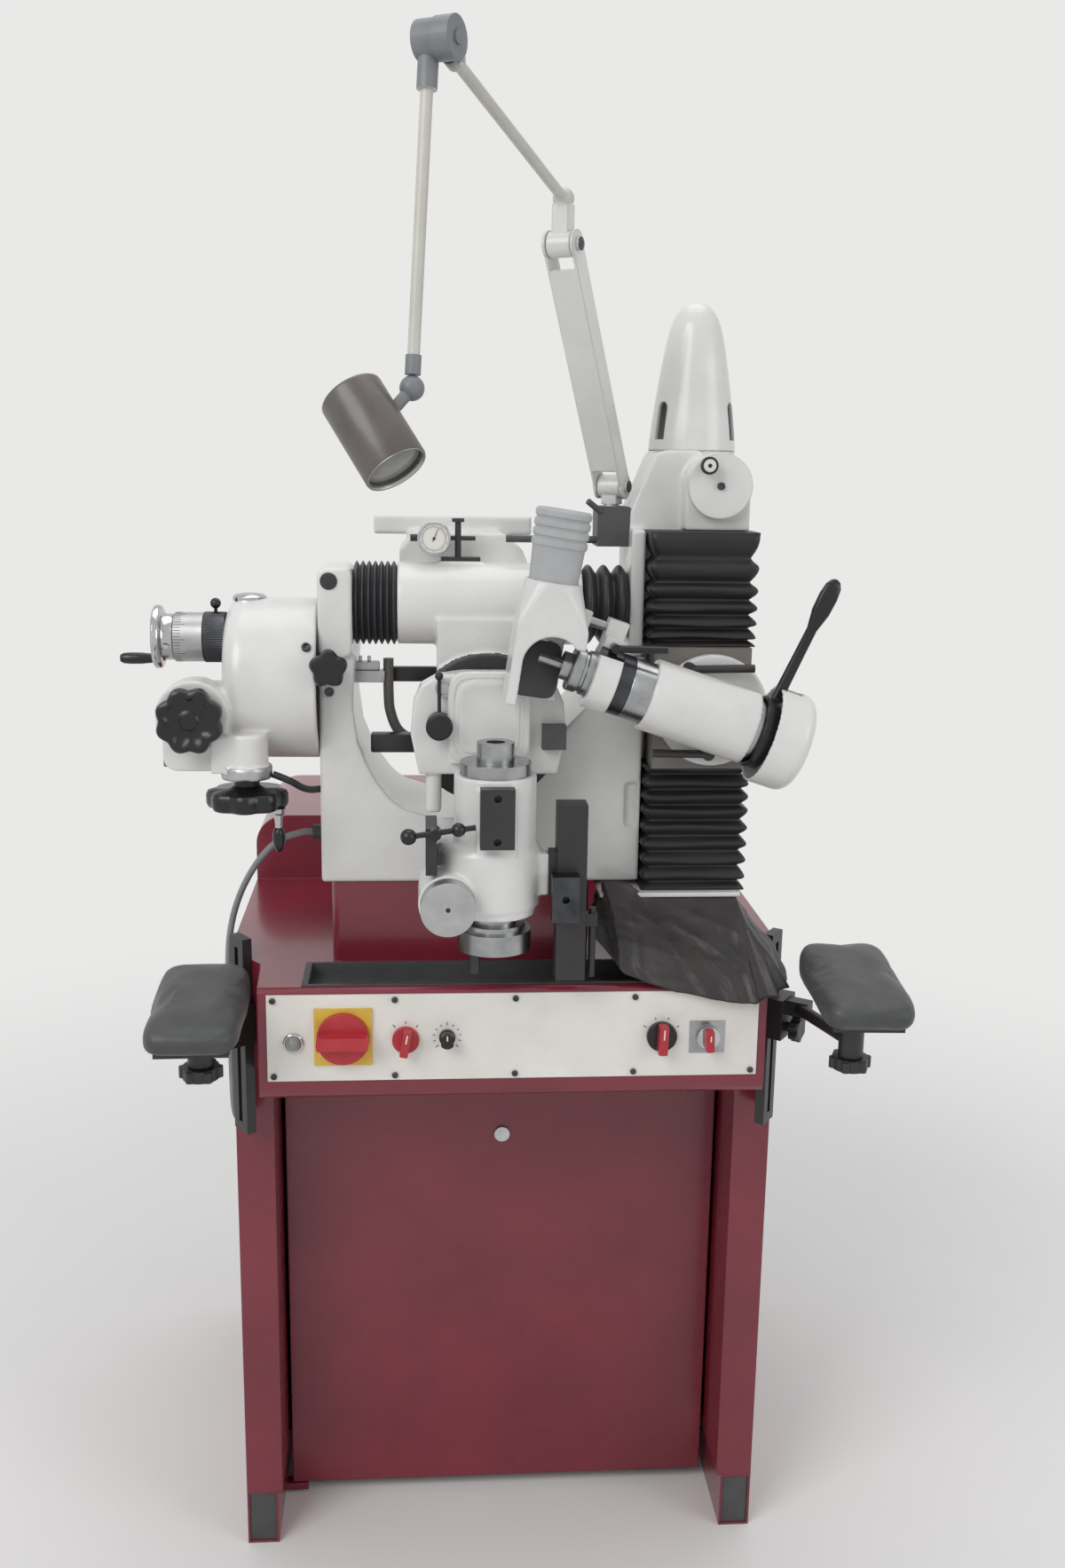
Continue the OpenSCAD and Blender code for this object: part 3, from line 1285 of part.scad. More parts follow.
module lamp_upper_arm() color(grey) {
    at_lamp(lamp_elbow) {
        along_y([0, -lamp_w / 2 + 4, 0], lamp_w - 8, 13);
        along_y([0, -lamp_w / 2 - 4, 0], lamp_w + 8, lamp_pin_r);
        translate([-8, -9, 6]) cube([16, 18, lamp_link - 12]);
        translate([0, 0, lamp_link]) sphere(11);
        translate([0, 0, lamp_link]) rotate([0, 90 - lamp_up_el, 0]) {
            cylinder(h = lamp_up_l - lamp_hub_r - 5, r = lamp_tube_r);
            translate([0, 0, lamp_up_l - lamp_hub_r - 16]) cylinder(h = 12, r = 9);
            translate([-6, slide_gap + 1, lamp_up_l - lamp_hub_r - 9]) cube([12, 7, 17]);
        }
    }
    at_lamp(lamp_top) difference() {
        along_y([0, slide_gap, 0], 18, lamp_hub_r);
        along_y([0, -cut, 0], 22, lamp_pin_r + run_gap);
    }
}

module lamp_drop_arm() color(dark_steel) at_lamp(lamp_top) {
    along_y([0, -18, 0], 18, lamp_hub_r - 1);
    along_y([0, -18, 0], 38, lamp_pin_r);
    translate([0, -9, 0]) rotate([0, 90 - lamp_drop_el, 0]) {
        translate([0, 0, 14]) cylinder(h = 26, r = 9);
        translate([0, 0, 20]) cylinder(h = lamp_drop_l - 44, r = lamp_tube_r);
        translate([0, 0, lamp_drop_l - 28]) cylinder(h = 28 - lamp_ball_r - slide_gap, r = 7);
    }
}

lamp_ball_at =
    lamp_top + 9 * [sin(lamp_heading), -cos(lamp_heading), 0] + lamp_drop_l * in_plane(lamp_drop_el);
module lamp_head() color(black) from_legs() {
    can = lamp_ball_at + [-33, -20, -38];
    back = can - can_dir * lamp_can_l / 2;
    translate(lamp_ball_at) {
        sphere(lamp_ball_r);
        rotate([0, 0, lamp_heading]) along_y([0, -lamp_ball_r - 2, 0], 2 * lamp_ball_r + 4, 4);
    }
    rod(lamp_ball_at, can - can_dir * 20, 5);
    difference() {
        rod(back, back + can_dir * lamp_can_l, lamp_can_r);
        rod(back + can_dir * (lamp_can_l - 8), back + can_dir * (lamp_can_l + 1), lamp_can_r - 3);
    }
}

cabinet_shell();
console_housing();
skid_tubes();
skid_plugs();
door();
control_panel();
panel_fittings();
main_switch();
mode_selector();
speed_dial();
wheel_selector();
light_selector();
deck_tray();
main_frame();
guide_bar();
carriage_bellows();
carriage();
dial_gauge();
swivel_plate();
workhead_body();
rest_rail();
work_spindle();
index_dial();
index_lever();
rest_block();
feed_gearbox();
feed_collar();
fine_feed_wheel();
star_wheel();
crank_handwheel();
feed_cable();
frame_clamp_knob();
column();
column_cap();
crank_disc();
lift_screw();
column_bellows();
wheelhead_slide();
spindle_housing();
quill();
guard_collar();
arbor();
hand_lever();
swivel_clamps();
wheel_guard();
suction_cuff();
armrest_rails();
left_bracket();
right_bracket();
left_pad();
right_pad();
leather_apron();
mains_cord();
cord_glands();
lamp_clamp();
lamp_fork();
lamp_lower_arm();
lamp_upper_arm();
lamp_drop_arm();
lamp_head();
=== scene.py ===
"""Looks for the tool and cutter grinder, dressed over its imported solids. Metres, +Z up, operator at -Y."""
import json
import math

import bmesh
import bpy
from mathutils import Matrix, Vector, noise

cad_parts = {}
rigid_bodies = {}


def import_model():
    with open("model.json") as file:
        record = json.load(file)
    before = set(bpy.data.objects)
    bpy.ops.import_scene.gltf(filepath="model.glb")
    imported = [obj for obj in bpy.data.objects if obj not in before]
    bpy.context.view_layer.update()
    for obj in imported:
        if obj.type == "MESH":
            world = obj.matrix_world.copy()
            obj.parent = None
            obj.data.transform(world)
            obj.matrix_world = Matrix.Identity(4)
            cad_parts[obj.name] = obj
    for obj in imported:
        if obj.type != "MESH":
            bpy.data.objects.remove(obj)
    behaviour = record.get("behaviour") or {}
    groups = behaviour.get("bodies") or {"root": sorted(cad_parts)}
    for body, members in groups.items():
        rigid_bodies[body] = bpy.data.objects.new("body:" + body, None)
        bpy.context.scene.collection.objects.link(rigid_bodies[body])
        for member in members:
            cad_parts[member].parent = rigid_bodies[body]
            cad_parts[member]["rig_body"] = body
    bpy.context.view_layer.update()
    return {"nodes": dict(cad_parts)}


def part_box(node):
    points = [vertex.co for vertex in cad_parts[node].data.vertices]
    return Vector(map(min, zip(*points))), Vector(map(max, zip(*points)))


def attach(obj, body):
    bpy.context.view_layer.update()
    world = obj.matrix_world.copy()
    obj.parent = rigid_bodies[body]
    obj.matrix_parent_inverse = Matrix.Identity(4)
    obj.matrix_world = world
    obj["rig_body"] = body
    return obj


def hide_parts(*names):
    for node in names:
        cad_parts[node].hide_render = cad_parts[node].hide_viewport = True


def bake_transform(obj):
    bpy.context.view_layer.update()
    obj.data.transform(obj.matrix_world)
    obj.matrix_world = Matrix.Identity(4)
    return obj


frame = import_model()
nodes = frame["nodes"]
MM = 0.001
LEGS = -280 * MM
SHARP = math.radians(38)
PRINT_MM = 0.15


def spot(x, y, z):
    """A point in metres from millimetres, with Y counted from the front of the posts."""
    return Vector((x * MM, y * MM + LEGS, z * MM))


def from_legs(p):
    """A point in millimetres, with Y counted from the front of the posts."""
    return Vector((p.x / MM, (p.y - LEGS) / MM, p.z / MM))


def linear(code):
    """An sRGB hex value as linear light."""
    parts = [int(code[i:i + 2], 16) / 255 for i in (1, 3, 5)]
    return tuple(c / 12.92 if c < 0.04045 else ((c + 0.055) / 1.055) ** 2.4 for c in parts) + (1.0,)


def put(tree, kind, settings=None, *in_turn, **by_name):
    """Adds a node with its settings, and links or sets its inputs, in turn or by name."""
    made = tree.nodes.new("ShaderNode" + kind)
    for key, value in (settings or {}).items():
        setattr(made, key, value)
    inputs = list(zip(made.inputs, in_turn))
    inputs += [(made.inputs[key.replace("_", " ")], value) for key, value in by_name.items()]
    for socket, value in inputs:
        if isinstance(value, bpy.types.NodeSocket):
            tree.links.new(value, socket)
        else:
            socket.default_value = value
    return made


def per(mm):
    """Pattern scale for a real size in millimetres."""
    return 1 / (mm * MM)


def surface(name, light, dark, patch_mm, rough, **shader):
    """A material whose colour drifts between two tones in patches, with gloss that drifts along with it."""
    made = bpy.data.materials.new(name)
    made.use_nodes = True
    made.diffuse_color = linear(light)
    tree = made.node_tree
    bsdf = tree.nodes["Principled BSDF"]
    for key, value in shader.items():
        bsdf.inputs[key.replace("_", " ")].default_value = value
    bsdf.inputs["Base Color"].default_value = linear(light)
    place = put(tree, "TexCoord").outputs["Object"]
    cloud = put(tree, "TexNoise", Vector=place, Scale=per(patch_mm), Detail=5.0, Roughness=0.6).outputs["Fac"]
    spread = put(tree, "MapRange", Value=cloud, From_Min=0.35, From_Max=0.7)
    tone = put(tree, "MixRGB", Fac=spread.outputs["Result"], Color1=linear(light), Color2=linear(dark))
    tree.links.new(tone.outputs["Color"], bsdf.inputs["Base Color"])
    gloss = put(tree, "MapRange", Value=cloud, To_Min=rough[0], To_Max=rough[1])
    tree.links.new(gloss.outputs["Result"], bsdf.inputs["Roughness"])
    return made, tree, bsdf, place


def relief(tree, bsdf, height, depth_mm, strength, edge_mm=0.0):
    """Bump of a real depth over edges that are rounded to a real radius."""
    bump = put(tree, "Bump", Height=height, Strength=strength, Distance=depth_mm * MM)
    if edge_mm:
        edge = put(tree, "Bevel", {"samples": 4}, Radius=edge_mm * MM)
        tree.links.new(edge.outputs["Normal"], bump.inputs["Normal"])
    tree.links.new(bump.outputs["Normal"], bsdf.inputs["Normal"])


def stoved_enamel(name, light, dark, patch_mm, rough, edge_mm, coat):
    """Sprayed and stoved enamel: a wet gloss with the slight orange peel of thick paint, dulled in patches."""
    made, tree, bsdf, place = surface(name, light, dark, patch_mm, rough, Coat_Weight=coat, Coat_Roughness=0.12)
    peel = put(tree, "TexNoise", Vector=place, Scale=per(3.2), Detail=2.0).outputs["Fac"]
    relief(tree, bsdf, peel, 0.25, 0.22, edge_mm)
    return made


def turned_steel(name, light, dark, rough, line_mm):
    """Turned and ground steel: bright, with fine marks that break up the highlights.
    The marks are drawn coarser than the real 0.2 mm so that they show, and run no one way."""
    made, tree, bsdf, place = surface(name, light, dark, 22, rough, Metallic=1.0)
    marks = put(tree, "TexNoise", Vector=place, Scale=per(line_mm), Detail=6.0, Roughness=0.75).outputs["Fac"]
    relief(tree, bsdf, marks, 0.03, 0.12, 0.5)
    return made


def moulded(name, light, dark, rough, grain_mm, edge_mm=0.8):
    """Moulded plastic or phenolic: even colour and softly rounded edges.
    Its grain is drawn at 1 to 2 mm, coarser than the real one, so that it shows."""
    made, tree, bsdf, place = surface(name, light, dark, 30, rough, Specular_IOR_Level=0.45)
    grain = put(tree, "TexNoise", Vector=place, Scale=per(grain_mm), Detail=3.0).outputs["Fac"]
    relief(tree, bsdf, grain, 0.08, 0.12, edge_mm)
    return made


def hide(name, light, dark, rough):
    """Grained upholstery leather: pebbles of about 2.4 mm, drawn larger to show, soft creases and patchy wear."""
    made, tree, bsdf, place = surface(name, light, dark, 38, rough, Sheen_Weight=0.06, Sheen_Roughness=0.5)
    pebble = put(tree, "TexVoronoi", Vector=place, Scale=per(4.2)).outputs["Distance"]
    crease = put(tree, "TexNoise", Vector=place, Scale=per(26), Detail=6.0, Distortion=1.4).outputs["Fac"]
    both = put(tree, "MixRGB", Fac=0.55, Color1=pebble, Color2=crease)
    relief(tree, bsdf, both.outputs["Color"], 0.7, 0.35)
    return made


def coated_cloth(name, light, dark, rough):
    """Rubberised bellows cloth: dull black with a faint sheen.
    Its grain is drawn larger than the real weave, so that it shows."""
    made, tree, bsdf, place = surface(name, light, dark, 55, rough, Sheen_Weight=0.03, Sheen_Roughness=0.6)
    grain = put(tree, "TexNoise", Vector=place, Scale=per(1.6), Detail=2.0).outputs["Fac"]
    relief(tree, bsdf, grain, 0.2, 0.3)
    return made


# Enamel, sprayed and stoved: deep gloss on cabinet and castings, duller on fittings; black oxide is thin and dull
wine = stoved_enamel("wine_enamel", "#7d2233", "#6d1b2b", 160, (0.2, 0.34), 2.5, 0.35)
white = stoved_enamel("white_enamel", "#dedddb", "#cfcecb", 120, (0.22, 0.36), 3.0, 0.25)
cream = stoved_enamel("panel_enamel", "#e4e1db", "#d9d5ce", 90, (0.3, 0.42), 0.5, 0.1)
blacked = stoved_enamel("black_oxide", "#2c2c2d", "#222223", 60, (0.34, 0.5), 1.0, 0.05)
slide_paint = stoved_enamel("grey_slide_paint", "#77736f", "#6a6663", 70, (0.4, 0.55), 1.0, 0.05)
tube_paint = stoved_enamel("beige_tube_paint", "#c4c2ba", "#b7b5ad", 60, (0.35, 0.45), 0.5, 0.05)
bronze = stoved_enamel("bronze_lamp_paint", "#5f5955", "#524c49", 40, (0.3, 0.42), 0.8, 0.1)
# Metals, turned, brushed, blued or plated: grey with broken highlights, and chrome almost a mirror
steel = turned_steel("turned_steel", "#abacad", "#939496", (0.2, 0.32), 0.8)
satin = turned_steel("satin_aluminium", "#babbba", "#a9aaaa", (0.32, 0.45), 0.7)
blued = turned_steel("blued_steel", "#55565a", "#3f4043", (0.26, 0.4), 0.9)
chrome = turned_steel("chrome_plate", "#c3c4c6", "#b0b1b3", (0.08, 0.16), 2.0)
# Phenolic, plastics and ink: even colour, glossy on knobs and lenses, dull on caps, cables and printed marks
phenolic = moulded("black_phenolic", "#1b1b1d", "#141416", (0.18, 0.3), 1.5, 2.0)
red = moulded("red_switch_plastic", "#b5323b", "#a52a33", (0.32, 0.42), 1.2)
yellow = moulded("yellow_plate_plastic", "#d9b64a", "#cfa93e", (0.4, 0.5), 1.2)
graphite = moulded("graphite_plastic", "#4b4c4d", "#424344", (0.45, 0.6), 1.0)
lamp_grey = moulded("grey_joint_plastic", "#7d8083", "#707376", (0.38, 0.5), 1.0)
hose_grey = moulded("grey_hose_plastic", "#b3b5b5", "#a5a7a8", (0.35, 0.48), 1.6)
rubber = moulded("cable_rubber", "#8f9192", "#808283", (0.5, 0.62), 0.9, 0.0)
lens = moulded("clear_lens", "#8f8f8c", "#858582", (0.08, 0.16), 2.0, 0.5)
ink = moulded("black_ink", "#26262a", "#202024", (0.5, 0.6), 2.0, 0.0)
enamel_face = moulded("white_dial_face", "#e6e4dd", "#dddbd3", (0.35, 0.45), 2.0, 0.0)
# Rubberised cloth and rubber, folded: dull black with a faint sheen
bellows_cloth = coated_cloth("bellows_cloth", "#161314", "#0e0c0d", (0.4, 0.56))
gaiter_rubber = coated_cloth("gaiter_rubber", "#2a2a2e", "#1f1f22", (0.36, 0.5))
# Upholstery leather, stretched on the pads and hung as the apron: grained, dark, worn in patches
pad_leather = hide("pad_leather", "#454647", "#38393a", (0.38, 0.54))
apron_leather = hide("apron_leather", "#2f2a29", "#1e1b1b", (0.36, 0.54))


# Each solid's finish; what stands in for a solid may bring its own
FINISH = {
    wine: "cabinet_shell console_housing skid_tubes door",
    white: "main_frame carriage swivel_plate workhead_body feed_gearbox column column_cap spindle_housing "
           "guard_collar wheel_guard crank_disc lamp_fork lamp_lower_arm",
    cream: "control_panel",
    steel: "guide_bar dial_gauge work_spindle lift_screw arbor fine_feed_wheel panel_fittings",
    satin: "index_dial",
    blued: "quill feed_collar rest_block",
    slide_paint: "wheelhead_slide",
    blacked: "rest_rail armrest_rails left_bracket right_bracket swivel_clamps hand_lever",
    phenolic: "speed_dial star_wheel crank_handwheel frame_clamp_knob index_lever",
    red: "main_switch mode_selector wheel_selector light_selector",
    graphite: "deck_tray skid_plugs cord_glands lamp_clamp lamp_head",
    lamp_grey: "lamp_upper_arm lamp_drop_arm",
    hose_grey: "suction_cuff",
    gaiter_rubber: "feed_cable carriage_bellows column_bellows",
    rubber: "mains_cord",
    pad_leather: "left_pad right_pad leather_apron",
}
for finish, names in FINISH.items():
    for name in names.split():
        nodes[name].data.materials.clear()
        nodes[name].data.materials.append(finish)


def keep(mesh, name, body, finish):
    """A finished mesh or curve as a piece of the object that rides on a body."""
    made = bpy.data.objects.new(name, mesh)
    bpy.context.scene.collection.objects.link(made)
    if finish is not None and not mesh.materials:
        mesh.materials.append(finish)
    if body:
        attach(made, body)
    return made


def paint(mesh, choose):
    """Each face takes the finish chosen for its middle."""
    mesh.materials.clear()
    order = []
    for face in mesh.polygons:
        finish = choose(from_legs(face.center))
        if finish not in order:
            order.append(finish)
        face.material_index = order.index(finish)
    for finish in order:
        mesh.materials.append(finish)


def repaint(node, choose):
    """Stands in for a solid of several finishes."""
    mesh = nodes[node].data.copy()
    paint(mesh, choose)
    made = keep(mesh, node + "_dressed", nodes[node]["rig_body"], None)
    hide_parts(node)


def softened(node, choose, grain_mm, rounds):
    """A casting with its edges run over by paint: the solid's skin at an even grain, then relaxed."""
    made = keep(nodes[node].data.copy(), node + "_cast", None, None)
    even = made.modifiers.new("even_skin", "REMESH")
    even.mode = "VOXEL"
    even.voxel_size = grain_mm * MM
    relax = made.modifiers.new("paint_edges", "SMOOTH")
    relax.factor = 0.5
    relax.iterations = rounds
    bpy.context.view_layer.update()
    ready = made.evaluated_get(bpy.context.evaluated_depsgraph_get())
    made.data = bpy.data.meshes.new_from_object(ready)
    made.modifiers.clear()
    paint(made.data, choose)
    made.data.shade_smooth()
    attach(made, nodes[node]["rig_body"])
    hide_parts(node)


def mesh_of(name, points, faces, smooth=True):
    """A mesh from points and faces, with its faces turned outwards."""
    mesh = bpy.data.meshes.new(name)
    mesh.from_pydata([tuple(p) for p in points], [], faces)
    whole = bmesh.new()
    whole.from_mesh(mesh)
    bmesh.ops.recalc_face_normals(whole, faces=whole.faces[:])
    whole.to_mesh(mesh)
    whole.free()
    if smooth:
        mesh.shade_smooth()
    return mesh


def lofted(rings, looped=False):
    """Points and faces through rings of equal count, closed by caps or, looped, back to the first ring."""
    count = len(rings[0])
    points = [p for ring in rings for p in ring]
    faces = []
    for j in range(len(rings) if looped else len(rings) - 1):
        low, high = j * count, (j + 1) % len(rings) * count
        for k in range(count):
            after = (k + 1) % count
            faces.append((low + k, low + after, high + after, high + k))
    if not looped:
        faces.append(tuple(reversed(range(count))))
        faces.append(tuple(range((len(rings) - 1) * count, len(rings) * count)))
    return points, faces


def ring_of(middle, across, other, r, sides):
    """Points round a middle, at a radius in millimetres."""
    return [middle + (across * math.cos(a) + other * math.sin(a)) * r * MM
            for a in (2 * math.pi * k / sides for k in range(sides))]


def turn(profile, at, axis, sides=48, looped=False):
    """Lathe-turned form from (radius, distance) pairs in millimetres."""
    axis = Vector(axis).normalized()
    across = axis.orthogonal().normalized()
    other = axis.cross(across)
    rings = [ring_of(Vector(at) + axis * t * MM, across, other, max(r, 0.01), sides) for r, t in profile]
    return lofted(rings, looped)


def lobed(at, axis, up, lobes, levels, depth, sides=144):
    """Handwheel form: an outline with round lobes, lofted through (radius, distance, lobe share) levels."""
    axis, up = Vector(axis).normalized(), Vector(up).normalized()
    side = axis.cross(up)
    rings = []
    for r, t, share in levels:
        ring = []
        for k in range(sides):
            a = 2 * math.pi * k / sides
            swell_out = (0.5 + 0.5 * math.cos(lobes * a)) ** 0.75
            reach = r - depth * share * (1 - swell_out)
            ring.append(Vector(at) + axis * t * MM + (up * math.cos(a) + side * math.sin(a)) * reach * MM)
        rings.append(ring)
    return lofted(rings)


def ball(r, middle=0, start=0, step=10):
    """Profile of a ball for turning, from a start angle."""
    return [(r * math.sin(math.radians(a)), middle - r * math.cos(math.radians(a)))
            for a in range(start, 181, step)]


def squared(k, count, power):
    """One of the points of a round of radius 1 that is drawn out towards a square."""
    a = 2 * math.pi * k / count
    c, s = math.cos(a), math.sin(a)
    return math.copysign(abs(c) ** power, c), math.copysign(abs(s) ** power, s)


def block(low, high, edge):
    """A bar or plate with softened edges, between two corners in millimetres from the posts."""
    a, b = spot(*low), spot(*high)
    made = bmesh.new()
    bmesh.ops.create_cube(made, size=1, matrix=Matrix.Translation((a + b) / 2) @ Matrix.Diagonal((*(b - a), 1)))
    bmesh.ops.bevel(made, geom=made.edges[:], offset=edge * MM, segments=2, profile=0.6, affect="EDGES")
    made.verts.index_update()
    parts = [v.co.copy() for v in made.verts], [tuple(v.index for v in f.verts) for f in made.faces]
    made.free()
    return parts


def swept(points, radii, sides=14):
    """A round bar along points in metres, with a radius in millimetres for each point."""
    rings = []
    across = None
    for i, p in enumerate(points):
        run = (points[min(i + 1, len(points) - 1)] - points[max(i - 1, 0)]).normalized()
        across = run.orthogonal().normalized() if across is None else (across - run * across.dot(run)).normalized()
        other = run.cross(across)
        rings.append(ring_of(p, across, other, radii[i], sides))
    return lofted(rings)


def smooth_run(points, steps):
    """Points on a smooth run through given ones."""
    out = []
    last = len(points) - 1
    for i in range(last):
        a, b = points[max(i - 1, 0)], points[i]
        c, d = points[i + 1], points[min(i + 2, last)]
        for k in range(steps):
            t = k / steps
            out.append(0.5 * (2 * b + (c - a) * t + (2 * a - 5 * b + 4 * c - d) * t * t
                              + (3 * b - a - 3 * c + d) * t ** 3))
    out.append(points[-1])
    return out


# Cables: the mains cord in one loop from the frame to the cabinet's side, the feed drive's lead into the frame
CABLE_D = 8


def lead(name, node, finish, stiffness, steps, *points):
    """A free round cable along given points, as a curve with both ends in the object."""
    run = smooth_run([spot(*p) for p in points], steps)
    curve = bpy.data.curves.new(name, "CURVE")
    curve.dimensions = "3D"
    curve.bevel_depth = CABLE_D / 2 * MM
    curve.bevel_resolution = 4
    curve.use_fill_caps = True
    line = curve.splines.new("POLY")
    line.points.add(len(run) - 1)
    for point, p in zip(line.points, run):
        point.co = (*p, 1)
    made = keep(curve, name, "base", finish)
    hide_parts(node)


lead("mains_cord_lead", "mains_cord", rubber, "medium", 6,
     (-232, 20, 952), (-246, 20, 951), (-275, 28, 938), (-303, 44, 905), (-326, 62, 860), (-340, 76, 810),
     (-345, 84, 750), (-345, 89, 680), (-345, 92, 610), (-345, 99, 572), (-345, 118, 547), (-345, 145, 535),
     (-345, 172, 536), (-345, 198, 549), (-345, 216, 572), (-345, 224, 604), (-345, 225, 640))
lead("feed_drive_cable", "feed_cable", gaiter_rubber, "stiff", 8,
     (-267.5, -84, 1044), (-258, -83, 1040), (-247, -77, 1033.5), (-237, -65, 1024.5), (-228, -53, 1019.5),
     (-218, -42, 1018))


# Round gaiters on the guide bar, whose middle is given in Y and Z
BAR = (-10, 1226)


def gaiter(name, x0, x1, folds, crest, valley):
    """Moulded rubber gaiter with round crests, from a fixed end to a moving one."""
    profile = []
    steps = folds * 10
    for i in range(steps + 1):
        wave = 0.5 - 0.5 * math.cos(2 * math.pi * folds * i / steps)
        profile.append((valley + (crest - valley) * wave ** 0.6, (x1 - x0) * i / steps))
    left, right = spot(x0, BAR[0], BAR[1]), spot(x1, BAR[0], BAR[1])
    made = keep(mesh_of(name, *turn(profile, left, (1, 0, 0), 96)), name, None, gaiter_rubber)
    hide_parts("carriage_bellows")
    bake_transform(made)


low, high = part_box("carriage_bellows")
gaiter("left_gaiter", low.x / MM, -131.3, 7, 46.8, 41)
gaiter("right_gaiter", 75.3, high.x / MM, 3, 45, 35)


# Pleated covers on the column's ways
COLUMN_X = 207


def pleats(name, z0, z1, folds, gather):
    """Folded cloth cover: soft crests over deep valleys, mitred at the corners, no two folds quite alike."""
    half, front, back, depth, corner = 61, -75, -20.4, 8, 2.5
    rows = folds * 10
    pitch = (z1 - z0) / folds
    rings = []
    for i in range(rows + 1):
        u = i / rows
        z = z0 + (z1 - z0) * (1 - (1 - u) ** gather)
        wave = 0.5 + 0.5 * math.cos(2 * math.pi * folds * u)
        fold = int(round(folds * u))
        proud = (0.9 * math.sin(fold * 12.9898) - 0.6) * wave * (0 < u < 1)
        inset = depth * (1 - wave ** 0.6)
        z += pitch * 0.14 * math.sin(fold * 5.3) * wave * (0 < u < 1)
        x, y = half - 0.6 - inset + proud, front + 0.6 + inset - proud
        ring = []
        across = [(-x, back)] + [(-x, back + (y + corner - back) * k / 10) for k in range(1, 11)]
        across += [(-x + corner, y)] + [(-x + corner + (2 * x - 2 * corner) * k / 20, y) for k in range(1, 21)]
        across += [(x, y + corner)] + [(x, y + corner + (back - y - corner) * k / 10) for k in range(1, 11)]
        for px, py in across:
            sag = 1.1 * math.sin(px * 0.05 + fold * 2.1) * wave
            ring.append(spot(COLUMN_X + px, py, z + sag * (0 < u < 1)))
        rings.append(ring)
    points, faces = lofted(rings)
    made = keep(mesh_of(name, points, faces), name, None, bellows_cloth)
    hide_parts("column_bellows")
    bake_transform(made)


low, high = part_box("column_bellows")
slide_low, slide_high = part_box("wheelhead_slide")
pleats("lower_way_cover", low.z / MM, slide_low.z / MM - 0.3, 8, 1.0)
pleats("upper_way_cover", slide_high.z / MM + 0.3, high.z / MM, 6, 0.6)


# Armrest cushions: sizes in millimetres, and levels as shares of the height and of the outline
PAD = {"w": 108, "l": 195, "t": 42, "wedge": 0.5}
PAD_LEVELS = ((0, 0.88), (0.06, 0.95), (0.18, 0.985), (0.34, 1), (0.5, 1.0), (0.66, 0.99), (0.8, 0.955),
              (0.9, 0.9), (0.965, 0.8), (1, 0.62), (1.02, 0.4), (1.03, 0.2))


def cushion(name, node, at, swing, body):
    """Leather-covered foam, swollen by pressure in a cloth run and flat on its plate."""
    count, slack_side, slack_top = 72, 1.5, 2.5
    rings = []
    for height, share in PAD_LEVELS:
        ring = []
        for k in range(count):
            out_x, out_y = squared(k + 0.5, count, 0.42)
            draw = 1 - 0.03 * math.cos(4 * math.pi * (k + 0.5) / count) ** 2
            x = (PAD["w"] / 2 - slack_side) * out_x * draw * share
            y = (PAD["l"] / 2 - slack_side) * out_y * draw * share
            dish = 1 - 0.05 * max(0, 1 - (x / 44) ** 2 - (y / 84) ** 2) * (height > 0.9)
            rise = (PAD["t"] - slack_top) * (1 + PAD["wedge"] * y / PAD["l"])
            ring.append(Vector((x, y, rise * height * dish)))
        rings.append(ring)
    points, faces = lofted(rings)
    place = Matrix.Translation(spot(*at)) @ Matrix.Rotation(math.radians(swing), 4, "Z") @ Matrix.Scale(MM, 4)
    made = keep(mesh_of(name, [place @ p for p in points], faces), name, None, pad_leather)
    swell(made, 5, 4.0)
    creases(made, spot(*at))
    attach(made, body)
    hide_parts(node)


def swell(pad, voxel_mm, cap_mm):
    """Cloth run with inner pressure and no gravity, held to a small movement."""
    scene = bpy.context.scene
    steps = 20
    bpy.context.view_layer.objects.active = pad
    remesh = pad.modifiers.new("even_skin", "REMESH")
    remesh.mode = "VOXEL"
    remesh.voxel_size = voxel_mm * MM
    bpy.ops.object.select_all(action="DESELECT")
    pad.select_set(True)
    bpy.ops.object.modifier_apply(modifier="even_skin")
    start = [v.co.copy() for v in pad.data.vertices]
    floor = min(p.z for p in start)
    cloth = pad.modifiers.new("filled", "CLOTH")
    cloth.settings.use_pressure = True
    cloth.settings.uniform_pressure_force = 4.0
    cloth.settings.effector_weights.gravity = 0.0
    cloth.settings.quality = 4
    for step in range(1, steps + 1):
        scene.frame_set(step)
    bpy.ops.object.modifier_apply(modifier="filled")
    scene.frame_set(1)
    for vertex, p in zip(pad.data.vertices, start):
        move = vertex.co - p
        if move.length > cap_mm * MM:
            move *= cap_mm * MM / move.length
        vertex.co = p + move
        if p.z < floor + 2 * MM:
            vertex.co.z = p.z
    finer = pad.modifiers.new("smooth_skin", "SUBSURF")
    finer.levels = finer.render_levels = 1
    bpy.ops.object.modifier_apply(modifier="smooth_skin")
    pad.data.shade_smooth()


def creases(pad, middle):
    """Slack of used leather: shallow dents over the crown and wrinkles along the lower sides."""
    for vertex in pad.data.vertices:
        p = vertex.co
        height = (p.z - middle.z) / (PAD["t"] * MM)
        if height < 0.05:
            continue
        wide = noise.noise(p * per(46)) * 1.3
        fine = noise.noise(Vector((p.x * per(15), p.y * per(15), p.z * per(7)))) * 0.55 * (1 - height)
        away = (p - middle).normalized()
        vertex.co = p + away * (wide * height - 0.6 + fine) * MM


